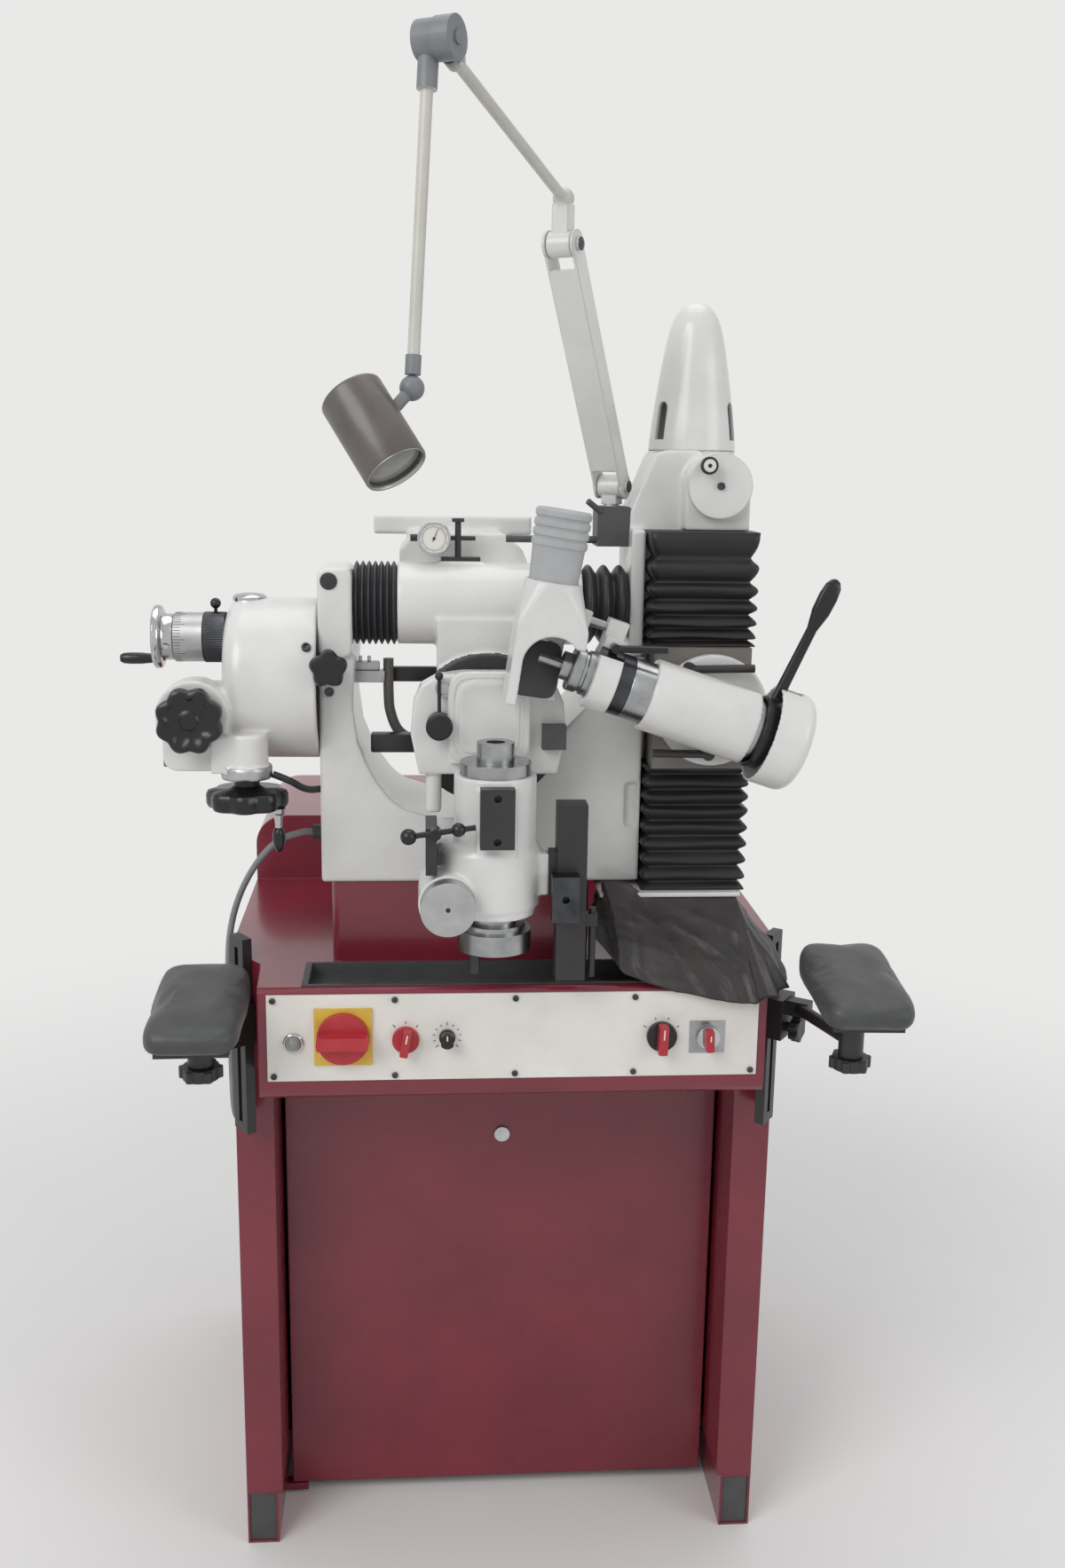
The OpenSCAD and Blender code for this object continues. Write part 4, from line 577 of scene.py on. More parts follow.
def plates_only(node, name, body, below):
    """The steel plate of a pad, as a copy of that solid's faces below a height."""
    made = bmesh.new()
    made.from_mesh(nodes[node].data)
    bmesh.ops.delete(made, geom=[f for f in made.faces if f.calc_center_median().z > below], context="FACES")
    mesh = bpy.data.meshes.new(name)
    made.to_mesh(mesh)
    made.free()
    mesh.materials.clear()
    plate = keep(mesh, name, body, blacked)
    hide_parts(node)


for side, pivot, swing in (("left", (-345, -160, 780), 1), ("right", (378, -160, 798), -3)):
    cushion(side + "_cushion", side + "_pad", pivot, swing, side + "_pad")
    plates_only(side + "_pad", side + "_pad_plate", side + "_pad", (pivot[2] - 0.05) * MM)


# Leather apron under the way cover: its top edge in X and Y, its hem in X, Y and Z
APRON_TOP = ((104, -24), (102, -52), (103, -80), (180, -81), (257, -80), (258, -52), (258, -24))
APRON_HEM = ((97, -24, 866), (96, -60, 872), (87, -104, 866), (122, -143, 830), (178, -151, 809), (236, -155, 799),
             (264, -157, 798), (291, -152, 804), (307, -122, 806), (317, -86, 808), (317, -70, 812))
APRON_Z = 898.7


# Folds of the apron, in shares of its width and drop: from, to, height and half width in millimetres
APRON_FOLDS = (
    ((0.66, 0.0), (0.61, 1.0), 5, 9), ((0.67, 0.0), (0.70, 1.0), 8, 8), ((0.68, 0.05), (0.79, 1.0), 6, 10),
    ((0.41, 0.0), (0.35, 0.9), 5, 9), ((0.42, 0.1), (0.47, 1.0), 4, 10), ((0.45, 0.25), (0.60, 0.7), 4, 9),
    ((0.50, 0.1), (0.64, 0.4), 3, 7), ((0.28, 0.2), (0.20, 1.0), 4, 12), ((0.84, 0.7), (0.90, 0.8), 7, 26))


def along(points, t):
    """The place at a share of the way through given points."""
    i = min(int(t * (len(points) - 1)), len(points) - 2)
    f = t * (len(points) - 1) - i
    return [a * (1 - f) + b * f for a, b in zip(points[i], points[i + 1])]


def rumple(u, v):
    """How far the hide stands out at a share of its width and drop: its folds, and the sags between them."""
    wide, drop = 560, 110
    p = Vector((u * wide, v * drop, 0))
    out = 0
    for start, end, height, half in APRON_FOLDS:
        a, b = (Vector((q[0] * wide, q[1] * drop, 0)) for q in (start, end))
        share = max(0, min(1, (p - a).dot(b - a) / (b - a).length_squared))
        off = (p - a - (b - a) * share).length / half
        out += height * math.exp(-off * off) * min(1, 0.25 + share)
    q = Vector((u * 9, v * 3, 0.3))
    sags = noise.noise(q) * 3 + noise.noise(q * 2.7) * 1.4 + abs(noise.noise(q * 5.1)) * 1.2
    return (out + sags + 3 * math.sin(8 * math.pi * u) * v) * min(1, 3 * v)


def apron():
    """One soft hide, hung round the column's foot: folds that fan from the corners, and a flap up at the left."""
    cols, rows, thick = 168, 56, 2.2
    skins = []
    for inset in (0.0, thick):
        grid = []
        for j in range(rows + 1):
            v = j / rows
            for i in range(cols + 1):
                u = i / cols
                t, h = along(APRON_TOP, u), along(APRON_HEM, u)
                angle = math.pi * (1 + u)
                flap = math.exp(-((u - 0.345) / 0.075) ** 4)
                push = rumple(u, v) - inset + 5 * flap * (1 - v)
                # The hide leans out first, then falls steeper to its hem
                drop = 0.86 * v if v < 0.7 else 0.602 + (v - 0.7) * 0.398 / 0.3
                flare = v ** 1.25
                top = APRON_Z + 20 * flap
                grid.append(spot(t[0] + (h[0] - t[0]) * flare + math.cos(angle) * push,
                                 t[1] + (h[1] - t[1]) * flare + math.sin(angle) * push,
                                 top + (h[2] - top) * drop))
        skins.append(grid)
    wide, m = cols + 1, (cols + 1) * (rows + 1)
    outer = [(j * wide + i, j * wide + i + 1, (j + 1) * wide + i + 1, (j + 1) * wide + i)
             for j in range(rows) for i in range(cols)]
    faces = outer + [tuple(k + m for k in reversed(f)) for f in outer]
    rim = list(range(wide)) + [j * wide + cols for j in range(1, rows + 1)]
    rim += [rows * wide + i for i in range(cols - 1, -1, -1)] + [j * wide for j in range(rows - 1, 0, -1)]
    faces += [(a, a + m, b + m, b) for a, b in zip(rim, rim[1:] + rim[:1])]
    mesh = mesh_of("hung_apron", skins[0] + skins[1], faces)
    made = keep(mesh, "hung_apron", "base", apron_leather)
    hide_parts("leather_apron")


apron()


# Grinding spindle's seat and tilt
SPINDLE_AT, SPINDLE_TILT = (217, -150, 1118), math.radians(18.5)
SPINDLE = Matrix.Translation(spot(*SPINDLE_AT)) @ Matrix.Rotation(SPINDLE_TILT, 4, "Y")


def from_spindle(q):
    """A point in the grinding spindle's own frame: X along it to its tail, Z square to it."""
    return Matrix.Rotation(-SPINDLE_TILT, 3, "Y") @ (q - Vector(SPINDLE_AT))


# Solids with more than one finish: each rule picks a face's finish from its middle, in millimetres
def panel_parts(q):
    """The main switch's yellow plate and the pilot lamp's lens, among steel screws."""
    if -224 < q.x < -158:
        return yellow
    return lens if -260 < q.x < -230 else steel


def carriage_parts(q):
    """The dark swivel disc on the white carriage."""
    return blacked if -72.5 < q.y < -57.5 and math.hypot(q.x + 31, q.z - 1092) < 84.6 else white


def gauge_parts(q):
    """The plated case of the dial gauge on its black holder."""
    return chrome if math.hypot(q.x + 90, q.z - 1299) < 19 else blacked


def spindle_parts(q):
    """The work spindle's blacked nose."""
    return blacked if q.z < 868.8 else steel


def gearbox_parts(q):
    """The bright flange under the angle drive."""
    return satin if math.hypot(q.x + 296, q.y + 82) < 28.6 and q.z < 1054.2 else white


def collar_parts(q):
    """The collar's clamping lever and its steel rod."""
    s = from_spindle(q)
    if s.y < -10.5 and s.z > 25:
        return phenolic
    return steel if s.x < -150 and s.z > 40 else white


def rail_parts(q):
    """The bright stud and the small dark grey box on the rest rail."""
    if math.hypot(q.x + 80, q.z - 1144) < 9.7 and q.y < -100:
        return satin
    return graphite if q.x > 26 and q.z > 1070 else blacked


def door_parts(q):
    """The lock's plated barrel in the door."""
    return chrome if math.hypot(q.x, q.z - 527) < 10.2 and q.y < 92.2 else wine


def selector_on(ring):
    """A red selector on a ring of another finish."""
    return lambda q: ring if q.y > -148.4 else red


def upper_arm_parts(q):
    """The lamp arm's grey joint, white foot and beige tube."""
    if (q - Vector((-89.5, -339, 1733.1))).length < 30:
        return lamp_grey
    return white if q.z < 1640 else tube_paint


def drop_arm_parts(q):
    """The drop tube between its grey joints."""
    return tube_paint if 1478 <= q.z <= 1700 else lamp_grey


def all_white(q):
    """A casting in one finish."""
    return white


for node, rule, slot in (
        ("panel_fittings", panel_parts, "steel"), ("dial_gauge", gauge_parts, "steel"),
        ("work_spindle", spindle_parts, "steel"), ("guard_collar", collar_parts, "white_enamel"),
        ("rest_rail", rail_parts, "black_steel"), ("door", door_parts, "wine_enamel"),
        ("wheel_selector", selector_on(phenolic), "red_plastic"),
        ("light_selector", selector_on(chrome), "red_plastic"),
        ("lamp_upper_arm", upper_arm_parts, "grey_metal"), ("lamp_drop_arm", drop_arm_parts, "dark_steel")):
    repaint(node, rule)
for node, rule, grain_mm in (
        ("main_frame", all_white, 2.6), ("column", all_white, 2.6), ("carriage", carriage_parts, 2.2),
        ("feed_gearbox", gearbox_parts, 2.0), ("swivel_plate", all_white, 2.0), ("workhead_body", all_white, 1.8),
        ("spindle_housing", all_white, 1.8), ("wheel_guard", all_white, 1.2)):
    softened(node, rule, grain_mm, 3)


# Trims and turned pieces
def piece(name, body, finish, slot, *parts, stands_for=()):
    """One named piece from several forms, smooth but for its corners."""
    points, faces = [], []
    for some_points, some_faces in parts:
        start = len(points)
        points += some_points
        faces += [tuple(i + start for i in f) for f in some_faces]
    mesh = mesh_of(name, points, faces)
    mesh.set_sharp_from_angle(angle=SHARP)
    made = keep(mesh, name, body, finish)
    if stands_for:
        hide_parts(*stands_for)


def screw(at, axis, r):
    """Socket-head screw: a chamfered head with its hollow."""
    profile = ((r, 0), (r, r * 0.8), (r * 0.86, r), (r * 0.55, r), (r * 0.5, r * 0.45), (0, r * 0.4))
    return turn(profile, at, axis, 20)


def ticks(at, axis, up, inner, outer, count, start, end, wide):
    """Fine scale marks fanned about a point, as thin raised bars."""
    axis, up = Vector(axis).normalized(), Vector(up).normalized()
    side = up.cross(axis)
    points, faces = [], []
    for k in range(count):
        a = math.radians(start + (end - start) * k / max(count - 1, 1))
        out = up * math.cos(a) + side * math.sin(a)
        far = outer if k % 5 == 0 else outer - (outer - inner) * 0.35
        bar(points, faces, Vector(at) + out * inner * MM, out * (far - inner) * MM, out.cross(axis) * wide * MM,
            axis * PRINT_MM * MM)
    return points, faces


def bar(points, faces, at, run, across, up):
    """Adds a small straight-sided bar to a form."""
    base = len(points)
    for rise in (0, 1):
        for far, side in ((0, -0.5), (0, 0.5), (1, 0.5), (1, -0.5)):
            points.append(at + run * far + across * side + up * rise)
    for f in ((0, 1, 2, 3), (4, 5, 6, 7), (0, 1, 5, 4), (1, 2, 6, 5), (2, 3, 7, 6), (3, 0, 4, 7)):
        faces.append(tuple(base + i for i in f))


# Directions as the operator sees them
FRONT, REAR, UP, RIGHT = (0, -1, 0), (0, 1, 0), (0, 0, 1), (1, 0, 0)


def knobs():
    """Phenolic handwheels: rounded lobes, a dished face and a raised hub."""
    star = spot(-352, -85, 1108)
    dish = ((14, -6.3, 0), (29, -16, 0.6), (35, -17, 1), (37, -21, 1), (37, -30, 1), (35.4, -34.4, 1),
            (33, -35.8, 1), (29, -36, 1), (24, -33, 0.5), (15, -30.5, 0), (11, -31, 0), (9, -33, 0), (4, -33.5, 0))
    piece("star_handwheel", "star_wheel", phenolic, "black_plastic",
          lobed(star, REAR, (0.38, 0, 0.92), 8, dish, 4.2), stands_for=["star_wheel"])
    knob = spot(-204, -112, 1164)
    levels = ((9, 57, 0), (9, 18, 0), (14, 16.5, 0.4), (19, 16, 1), (21, 13, 1), (21, 4, 1), (19, 0.8, 1),
              (16, 0, 1), (8, -0.2, 0))
    piece("five_lobe_knob", "frame_clamp_knob", phenolic, "black_plastic",
          lobed(knob, REAR, UP, 5, levels, 4), stands_for=["frame_clamp_knob"])


def crank():
    """Dished handwheel under the angle drive, with a plated crank handle."""
    hub = spot(-296, -82, 1006)
    rim = ((14, 33.6, 0), (14, 26, 0), (20, 22, 0), (36, 21.8, 0.7), (43, 20, 1), (45, 16, 1), (45, 6, 1),
           (43, 2, 1), (39, 0.2, 1), (34, 0, 0.8), (28, 4, 0.3), (17, 7, 0), (15, 4, 0), (6, 3, 0))
    piece("lobed_handwheel", "crank_handwheel", phenolic, "black_plastic",
          lobed(hub, UP, RIGHT, 8, rim, 4.5), stands_for=["crank_handwheel"])
    turned_by = math.radians(-20)
    grip = hub + Vector((37 * math.cos(turned_by), 37 * math.sin(turned_by), 0)) * MM
    piece("crank_stem", "crank_handwheel", chrome, "steel",
          turn(((8, 2), (8, -3), (5.5, -5), (4.2, -12), (3.8, -20), (3.8, -24)), grip, UP, 28))
    egg = [(8 * math.sin(math.radians(a)) * (0.9 - 0.1 * math.cos(math.radians(a))),
            -33 - 15 * math.cos(math.radians(a))) for a in range(0, 181, 10)]
    piece("crank_grip", "crank_handwheel", phenolic, "black_plastic", turn(egg, grip, UP, 28))


def fine_feed():
    """Polished handwheel with a black grip, a graduated ring and a knurled collar."""
    hub = spot(-322, -10, 1186)
    rim = ((26, -58.3), (26, -67), (28, -69.6), (32, -70.6), (34.5, -72), (35.6, -74), (35.6, -78), (34, -80),
           (29, -79.5), (24, -77.5), (12, -77), (9, -78.4), (3, -78.6))
    piece("fine_wheel_rim", "fine_feed_wheel", chrome, "steel", turn(rim, hub, RIGHT, 72),
          stands_for=["fine_feed_wheel"])
    grip = spot(-400, -28, 1164)
    piece("fine_wheel_grip", "fine_feed_wheel", phenolic, "black_plastic",
          turn(((4.5, 1), (5.2, -3), (6.3, -14), (6.5, -26), (5.9, -34), (4, -37.6), (1, -38)), grip, RIGHT, 28))
    teeth = [(28.4, -24 + 0.01, 0), (28.4, -22.5, 1), (28.4, -2, 1), (28.4, -0.5, 0)]
    piece("knurled_collar", "base", blued, "dark_steel",
          lobed(hub, RIGHT, UP, 70, [(20, -24, 0), *teeth, (20, -0.4, 0)], 0.9, 420),
          stands_for=["feed_collar"])
    piece("graduated_ring", "base", satin, "steel",
          turn(((10, -58), (26, -58), (27.6, -56.6), (27.6, -25), (24, -24.2)), hub, RIGHT, 72))
    points, faces = [], []
    for k in range(50):
        a = 2 * math.pi * k / 50
        out, along_rim = Vector((0, math.cos(a), math.sin(a))), Vector((0, -math.sin(a), math.cos(a)))
        far = 13 if k % 5 == 0 else 8
        bar(points, faces, hub + (out * 27.55 + Vector((-56.4, 0, 0))) * MM, Vector((far, 0, 0)) * MM,
            along_rim * 0.6 * MM, out * PRINT_MM * MM)
    piece("feed_graduations", "base", ink, "black_plastic", (points, faces))
    stem = spot(-334, -10, 1186)
    piece("collar_lock_ball", "base", phenolic, "black_plastic",
          turn([(2, 25), (2, 32.2), *ball(6, 38, 20)], stem, UP, 28))


def gauge():
    """Dial gauge: plated bezel, white face, black marks and pointer."""
    at = spot(-90, -24, 1299)
    piece("gauge_bezel", "carriage", chrome, "steel",
          turn(((18.6, 3), (18.6, -1.2), (18, -2.2), (16.6, -2.2), (16, -1.2), (16, -0.4)), at, REAR, 72))
    piece("gauge_face", "carriage", enamel_face, "panel_paint",
          turn(((16, -0.4), (16, -0.6), (0, -0.6)), at, REAR, 64))
    mark = at + Vector((0, -0.75, 0)) * MM
    needle = swept([mark + Vector(p) * MM for p in ((-1.4, -0.3, -3.2), (4.8, -0.3, 11))], [0.5, 0.2], 8)
    piece("gauge_marks", "carriage", ink, "black_plastic",
          ticks(mark, FRONT, UP, 12, 15.2, 50, 0, 352.8, 0.35), needle,
          turn(((1.6, 0), (1.6, 0.5), (0, 0.6)), mark, FRONT, 20))


def panel_marks():
    """Printed scale marks and pointer lines of the rotary controls, the panel's screws, the pilot lamp's ring."""
    face = -142.25
    marks = [ticks(spot(-76, face, 757), FRONT, UP, 13.5, 17.5, 11, -135, 135, 0.7),
             ticks(spot(-122, face, 755), FRONT, UP, 18, 22, 3, -40, 40, 0.9),
             ticks(spot(165, face, 755), FRONT, UP, 20, 24, 4, -60, 60, 0.9)]
    slots = []
    for i in range(-2, 3):
        for s in (-1, 1):
            at = spot(i * 134, -143.75, 757 + s * 44.5)
            slots.append(turn(((3.5, 0), (3.5, 0.5), (2.6, 1.1), (1.2, 1.2), (1.1, 0.5), (0, 0.5)), at, FRONT, 20))
    piece("panel_print", "base", ink, "black_plastic", *marks)
    piece("panel_screws", "base", blued, "dark_steel", *slots)
    piece("pilot_ring", "base", chrome, "steel",
          turn(((11.3, 0), (11.3, 3), (10.4, 3.8), (9, 3.8), (8.6, 3)), spot(-246, -142, 752), FRONT, 40))
    for name, body, at, reach, angle in (("mode_line", "mode_selector", (-122, -162.45, 755), 12, 10),
                                         ("speed_line", "speed_dial", (-76, -158.45, 757), 7, 0),
                                         ("wheel_line", "wheel_selector", (165, -162.45, 755), 14, 2),
                                         ("light_line", "light_selector", (218, -162.45, 753), 8, 0)):
        piece(name, body, enamel_face, "panel_paint",
              ticks(spot(*at), FRONT, UP, reach * 0.15, reach, 1, angle, angle, 1.4))


def frame_trims():
    """Travel stops inside the frame's U, the casting's screws and plug, the drum's cap, the gearbox's bracket."""
    piece("block_plug", "base", gaiter_rubber, "bellows_rubber",
          turn(((9.4, 0.4), (9.4, -1), (8.4, -2.2), (4, -2.8), (0, -2.9)), spot(-205, -62, 1254), REAR, 36))
    piece("frame_screws", "base", blued, "dark_steel", screw(spot(-206, -54, 1131), FRONT, 5),
          screw(spot(-229, -79, 1183), (0, -0.87, 0.48), 5))
    piece("gearbox_bracket", "base", slide_paint, "grey_metal", block((-389, -66, 1048), (-368, -50, 1075), 2))
    piece("bracket_screw", "base", blued, "dark_steel", screw(spot(-380, -66, 1060), FRONT, 5))
    piece("drum_dome", "base", chrome, "steel",
          turn(((19, -3), (19, 1.5), (16, 4), (8, 5.6), (0, 6)), spot(-297, 0, 1229.5), UP, 48))
    arm = smooth_run([spot(*p) for p in ((-142, 12, 1160), (-142, 12, 1120), (-140, 12, 1098), (-131, 12, 1076),
                                         (-112, 12, 1062))], 8)
    piece("stop_bar", "base", satin, "steel", block((-182, 2, 1133), (-146, 20, 1147), 1.5),
          block((-182, 4, 1147), (-152, 18, 1157), 2), block((-176, 8, 1156), (-172, 14, 1163), 1),
          block((-166, 8, 1156), (-162, 14, 1163), 1))
    piece("stop_arm", "base", slide_paint, "grey_metal", swept(arm, [6] * len(arm), 20))
    piece("stop_foot", "base", blacked, "black_steel", block((-162, -24, 1056), (-110, -2, 1077), 2.5))
    piece("carriage_dog", "carriage", blacked, "black_steel", block((-138, 24, 1131), (-86, 36, 1148), 1.5))


def workhead_trims():
    """Setting rod, scale and raised cover on the swivel plate, and the index dial's centre."""
    rod = [spot(-85, -119, 1120), spot(-85.3, -119, 1157)]
    piece("setting_rod", "workhead", phenolic, "black_plastic", swept(rod, [2, 2]),
          turn(ball(4.6, step=12), spot(-85.3, -119, 1158.5), UP, 28),
          turn(((14, -2), (14.6, 1), (14.6, 5), (13, 7), (7, 7.6), (0, 7.7)), spot(-85, -121, 1104), FRONT, 48))
    levels = ((0, 0), (0, 9), (1.6, 10.6), (7, 10.6), (8, 9.6), (11, 9.6), (12, 10.8), (15, 11), (16.5, 10.2),
              (34, 10.2))
    rings = [[spot(-31 + (45 - inset) * x, -105 - out, 1112 + (51 - inset) * z)
              for x, z in (squared(k, 72, 0.38) for k in range(72))] for inset, out in levels]
    piece("swivel_cover", "workhead", white, "white_enamel", lofted(rings))
    piece("setting_scale", "workhead", ink, "black_plastic",
          ticks(spot(-80, -112.4, 1144), FRONT, UP, 5.5, 8.6, 16, 0, 337.5, 0.6))
    piece("dial_centre", "index_dial", ink, "black_plastic",
          turn(((2.6, -0.6), (2.6, 0.15), (2.2, 0.3), (0, 0.3)), spot(-77, -226, 930), FRONT, 24))


def cuff():
    """Ribbed hose cuff on the guard's neck, open at the top, and a dark plate behind the guard's mouth: it covers
    the hole there, and is painted shade for the dim inside of the mouth.
    """
    lean = Matrix.Translation(spot(26, -150, 1180)) @ Matrix.Rotation(math.radians(8), 4, "Y")
    profile = [(22.5, 66), (26.6, 66), (26.6, 84), (26, 86), (27.5, 118)]
    for k in range(4):
        base = 118 + 10 * k
        profile += [(27.6, base + 0.6), (29.3, base + 2.2), (29.5, base + 5), (29.3, base + 7.8),
                    (27.6, base + 9.4)]
    profile += [(27.2, 158), (23.4, 158), (22.5, 157)]
    axis = lean.to_3x3() @ Vector(UP)
    at = lean @ (Vector((-5, -4, 0)) * MM)
    piece("ribbed_cuff", "guard", hose_grey, "grey_metal", turn(profile, at, axis, 64, True),
          stands_for=["suction_cuff"])
    # A dark plate over the guard's inner back wall: it covers the hole there, and its darkness is painted shade for
    # the dim inside of the guard's mouth
    rings = [[lean @ (Vector((-7 + 26 * share * x, y, -13 + 31 * share * z)) * MM)
              for x, z in (squared(k, 64, 0.4) for k in range(64))]
             for y, share in ((26.9, 1), (25.6, 1), (25.2, 0.98))]
    piece("guard_washer_and_painted_shade", "guard", graphite, "black_plastic", lofted(rings))


def lamp_can():
    """Spun lamp can on a ball joint, with a thin bright rim and a grey glass set back in it; caps on the pivots."""
    heading = Vector((0.487, -0.418, -0.767)).normalized()
    joint = spot(-112.3, -360.5, 1446.7)
    middle = joint + Vector((-33, -20, -38)) * MM
    back = middle - heading * 41 * MM
    profile = ((8, 0.4), (26, 0), (28, 0.4), (28.8, 1.4), (29, 3), (29, 80.4), (28.6, 81.4), (27.2, 81.4),
               (26.8, 80.6), (26.4, 74), (8, 73))
    piece("spun_can", "lamp_head", bronze, "black_steel", turn(profile, back, heading, 64),
          stands_for=["lamp_head"])
    meet = middle + (joint - middle).normalized() * 24 * MM
    piece("can_knuckle", "lamp_head", lamp_grey, "grey_metal", turn(ball(11), joint, UP, 32),
          swept([joint, meet], [5.5, 5.5], 20))
    piece("can_rim", "lamp_head", satin, "steel",
          turn(((26.9, 79), (28.4, 81.2), (28.4, 82), (26.6, 82), (25.6, 80), (25.6, 79)), back, heading, 64, True))
    piece("can_glass", "lamp_head", lens, "panel_paint",
          turn(((26, 74), (26, 75), (20, 76), (10, 76.8), (0, 77)), back, heading, 48))
    across = Vector((0.866, -0.5, 0))
    pivot_cap = ((6.8, 0), (6.8, 0.7), (6, 1.3), (2.6, 1.3), (2.2, 0.6), (0, 0.6))
    piece("fork_screw", nodes["lamp_fork"]["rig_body"], blued, "dark_steel",
          turn(pivot_cap, spot(112, 10, 1358) + across * 20.5 * MM, across, 28))
    piece("elbow_screw", nodes["lamp_lower_arm"]["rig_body"], blued, "dark_steel",
          turn(pivot_cap, spot(39.1, -116.2, 1600.6) + across * 20.5 * MM, across, 28))


def cap_crank():
    """Lifting crank's face on the column cap: a black-ringed knob and a dark centre screw."""
    piece("crank_knob", "crank_disc", phenolic, "black_plastic",
          turn(((7.05, 1), (9, 0.4), (9.6, 1.4), (9.6, 7), (8.8, 8.4), (7.05, 8.4)), spot(208, -73, 1383), REAR,
               36, True),
          turn(((2.2, -0.2), (2.2, 0.4), (0, 0.5)), spot(208, -73, 1383), FRONT, 20))
    piece("crank_centre", "crank_disc", blued, "dark_steel", screw(spot(224, -57, 1361), FRONT, 4.2))


def quill_sleeve():
    """Ground quill of the grinding spindle: bright nose with a groove, a blued band and the bright sleeve."""
    axis = SPINDLE.to_3x3() @ Vector(RIGHT)
    bore = 10.4
    for name, finish, slot, profile in (
            ("quill_nose", steel, "steel",
             ((bore, -174), (22.6, -174), (24, -172.6), (24, -163), (22, -162), (22, -159), (24, -158), (24, -152),
              (26, -152), (26, -126), (bore, -126))),
            ("quill_band", blued, "dark_steel",
             ((bore, -125.5), (31.8, -125.5), (33, -124.3), (33, -110.6), (bore, -110.6))),
            ("quill_tube", steel, "steel",
             ((bore, -110.2), (32.6, -110.2), (33, -109.6), (33, 46.4), (32.4, 47), (bore, 47)))):
        piece(name, nodes["quill"]["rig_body"], finish, slot, turn(profile, SPINDLE.translation, axis, 64, True),
              stands_for=["quill"])


def lever():
    """Flat forged lever on a yoke round the quill's tail, with a paddle grip."""
    seat = SPINDLE @ Matrix.Translation(Vector((44, 0, 0)) * MM)
    along_quill = seat.to_3x3() @ Vector(RIGHT)
    ring = ((36.4, -7), (39, -7), (40, -6), (40, 6), (39, 7), (36.4, 7))
    lean = seat @ Matrix.Rotation(math.radians(6), 4, "Y")
    sections = ((37, 13, 12), (44, 12, 10), (90, 11, 8), (122, 10.5, 8), (130, 14, 9), (142, 19, 10.5),
                (160, 20, 11), (172, 17, 10), (178, 10, 7), (180, 3, 2))
    rings = [[lean @ (Vector((wide / 2 * x, deep / 2 * y, z)) * MM)
              for x, y in (squared(k, 32, 0.5) for k in range(32))] for z, wide, deep in sections]
    piece("paddle_lever", "hand_lever", phenolic, "black_steel",
          turn(ring, seat.translation, along_quill, 64, True), lofted(rings), stands_for=["hand_lever"])


knobs()
crank()
lever()
fine_feed()
gauge()
panel_marks()
frame_trims()
workhead_trims()
cuff()
lamp_can()
cap_crank()
quill_sleeve()


# Camera, lamps and room
BACKDROP = "#e9e9e8"


def sight():
    """The photograph's viewpoint: a hand-held view from the front left, turned slightly to the right and down."""
    yaw, pitch, roll = 0.0768, 0.2178, -0.0155
    ahead = Vector((math.sin(yaw) * math.cos(pitch), math.cos(yaw) * math.cos(pitch), -math.sin(pitch)))
    level = Vector((math.cos(yaw), -math.sin(yaw), 0))
    down = ahead.cross(level)
    right = level * math.cos(roll) + down * math.sin(roll)
    under = down * math.cos(roll) - level * math.sin(roll)
    camera = bpy.data.cameras.new("sight")
    camera.sensor_fit = "VERTICAL"
    camera.sensor_height = 24
    camera.lens = 22.807
    camera.clip_end = 60
    made = bpy.data.objects.new("sight", camera)
    bpy.context.scene.collection.objects.link(made)
    made.matrix_world = Matrix.Translation((-0.10528, -1.9849, 1.39225)) @ Matrix(
        (right, -under, -ahead)).transposed().to_4x4()
    bpy.context.scene.camera = made


def lamp(name, at, aim, size, watts):
    """A square soft light, turned to what it lights."""
    light = bpy.data.lights.new(name, "AREA")
    light.size = size
    light.energy = watts
    made = bpy.data.objects.new(name, light)
    bpy.context.scene.collection.objects.link(made)
    made.location = at
    made.rotation_euler = (Vector(aim) - Vector(at)).to_track_quat("-Z", "Y").to_euler()


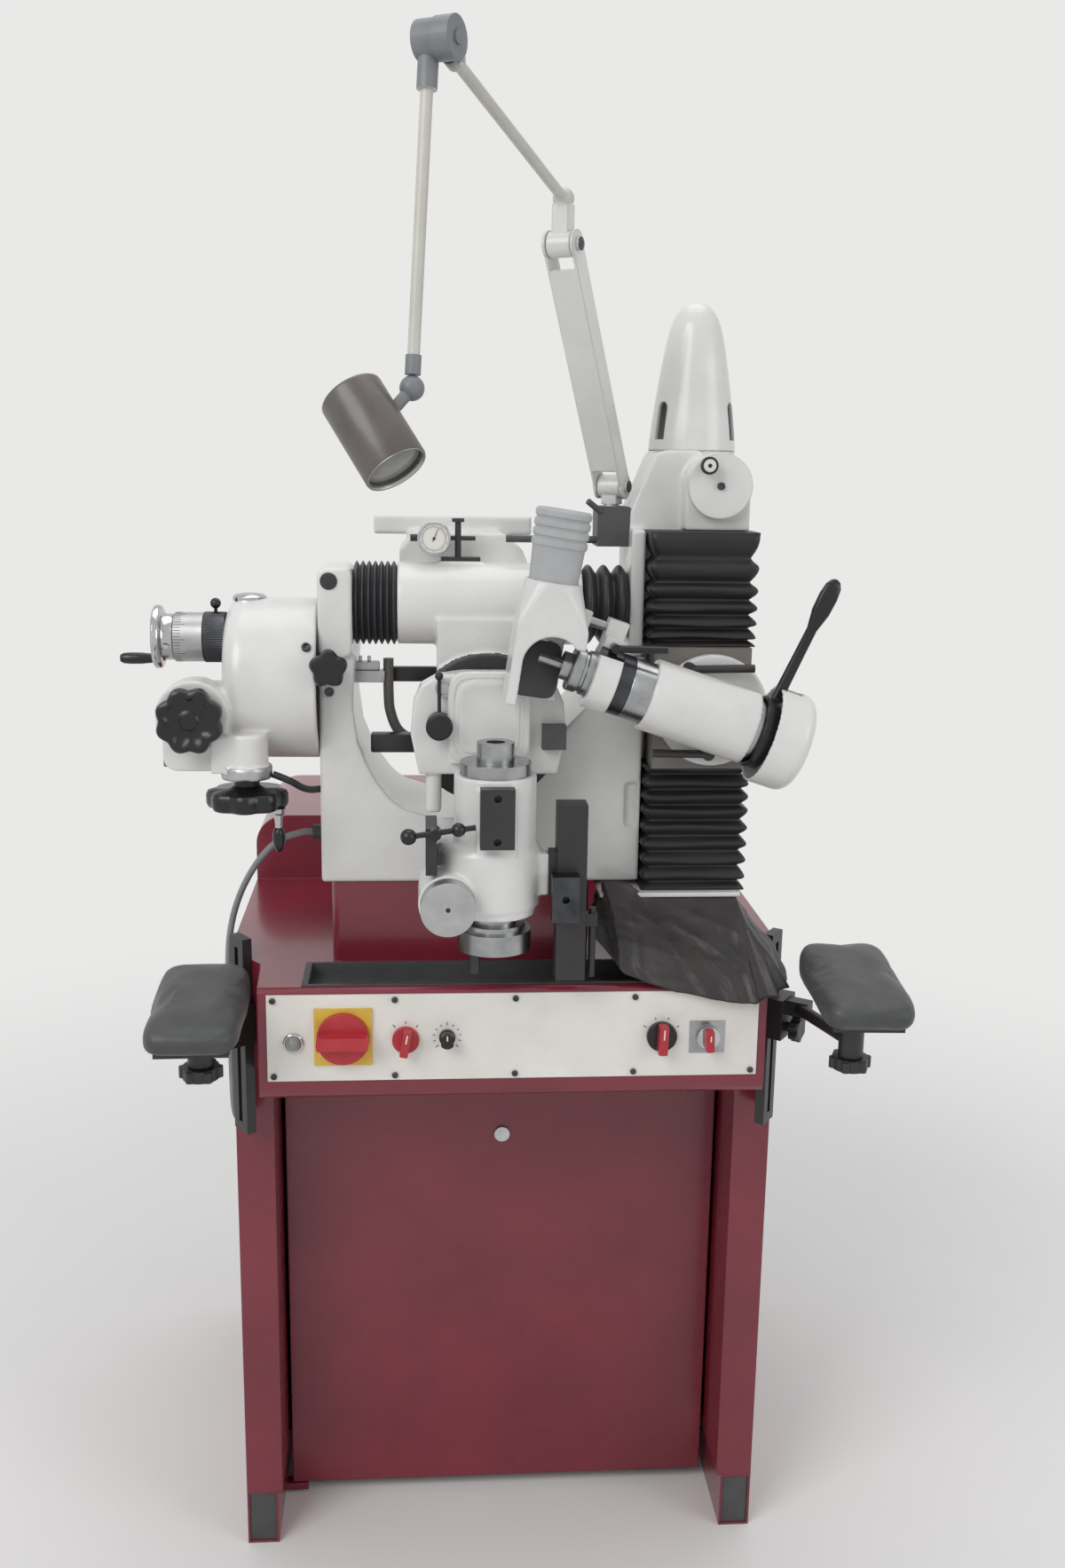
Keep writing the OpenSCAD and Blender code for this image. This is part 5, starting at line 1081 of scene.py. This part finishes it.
def in_view(tree):
    """1 on rays from the eye, off polished metal or through glass, and 0 on the rest."""
    path = put(tree, "LightPath").outputs
    seen = path["Is Camera Ray"]
    for kind in ("Is Glossy Ray", "Is Transmission Ray"):
        seen = put(tree, "Math", {"operation": "MAXIMUM"}, seen, path[kind]).outputs[0]
    return seen


def floor_finish():
    """Pale floor paint that keeps the object's shadow, and runs out into the backdrop's own colour further off."""
    made = stoved_enamel("pale_floor_paint", "#f0f0ee", "#ebebe9", 900, (0.7, 0.8), 0.0, 0.0)
    tree = made.node_tree
    far = put(tree, "VectorMath", {"operation": "LENGTH"}, Vector=put(tree, "TexCoord").outputs["Object"])
    fade = put(tree, "MapRange", {"interpolation_type": "SMOOTHSTEP"}, Value=far.outputs["Value"], From_Min=0.6,
               From_Max=2.4)
    share = put(tree, "Math", {"operation": "MULTIPLY"}, fade.outputs["Result"], in_view(tree))
    haze = put(tree, "Emission", Color=linear(BACKDROP), Strength=1.0)
    painted = tree.nodes["Principled BSDF"].outputs[0]
    both = put(tree, "MixShader", None, share.outputs[0], painted, haze.outputs[0])
    tree.links.new(both.outputs[0], tree.nodes["Material Output"].inputs["Surface"])
    return made


def room():
    """Even light from all round, soft lamps from the front left, the front right and above, and a pale floor."""
    world = bpy.data.worlds.new("room")
    world.use_nodes = True
    tree = world.node_tree
    tree.nodes.clear()
    around = put(tree, "Background", Color=linear("#f4f5f8"), Strength=0.55)
    seen = put(tree, "Background", Color=linear(BACKDROP), Strength=1.0)
    both = put(tree, "MixShader", None, in_view(tree), around.outputs[0], seen.outputs[0])
    put(tree, "OutputWorld", Surface=both.outputs[0])
    bpy.context.scene.world = world
    lamp("window_key", (-2.0, -2.6, 3.1), (0, -0.3, 0.9), 2.0, 58)
    lamp("window_fill", (2.6, -2.2, 1.9), (0, -0.3, 0.9), 1.6, 18)
    lamp("ceiling", (0.2, 0.2, 3.9), (0, -0.2, 0.8), 2.4, 26)
    bpy.context.scene.view_settings.view_transform = "Standard"
    reach, sides = 30, 64
    corners = [2 * math.pi * k / sides for k in range(sides)]
    ring = [Vector((reach * math.cos(a), reach * math.sin(a), 0)) for a in corners]
    floor = keep(mesh_of("floor", ring, [tuple(range(sides))], False), "floor", None, floor_finish())


sight()
room()
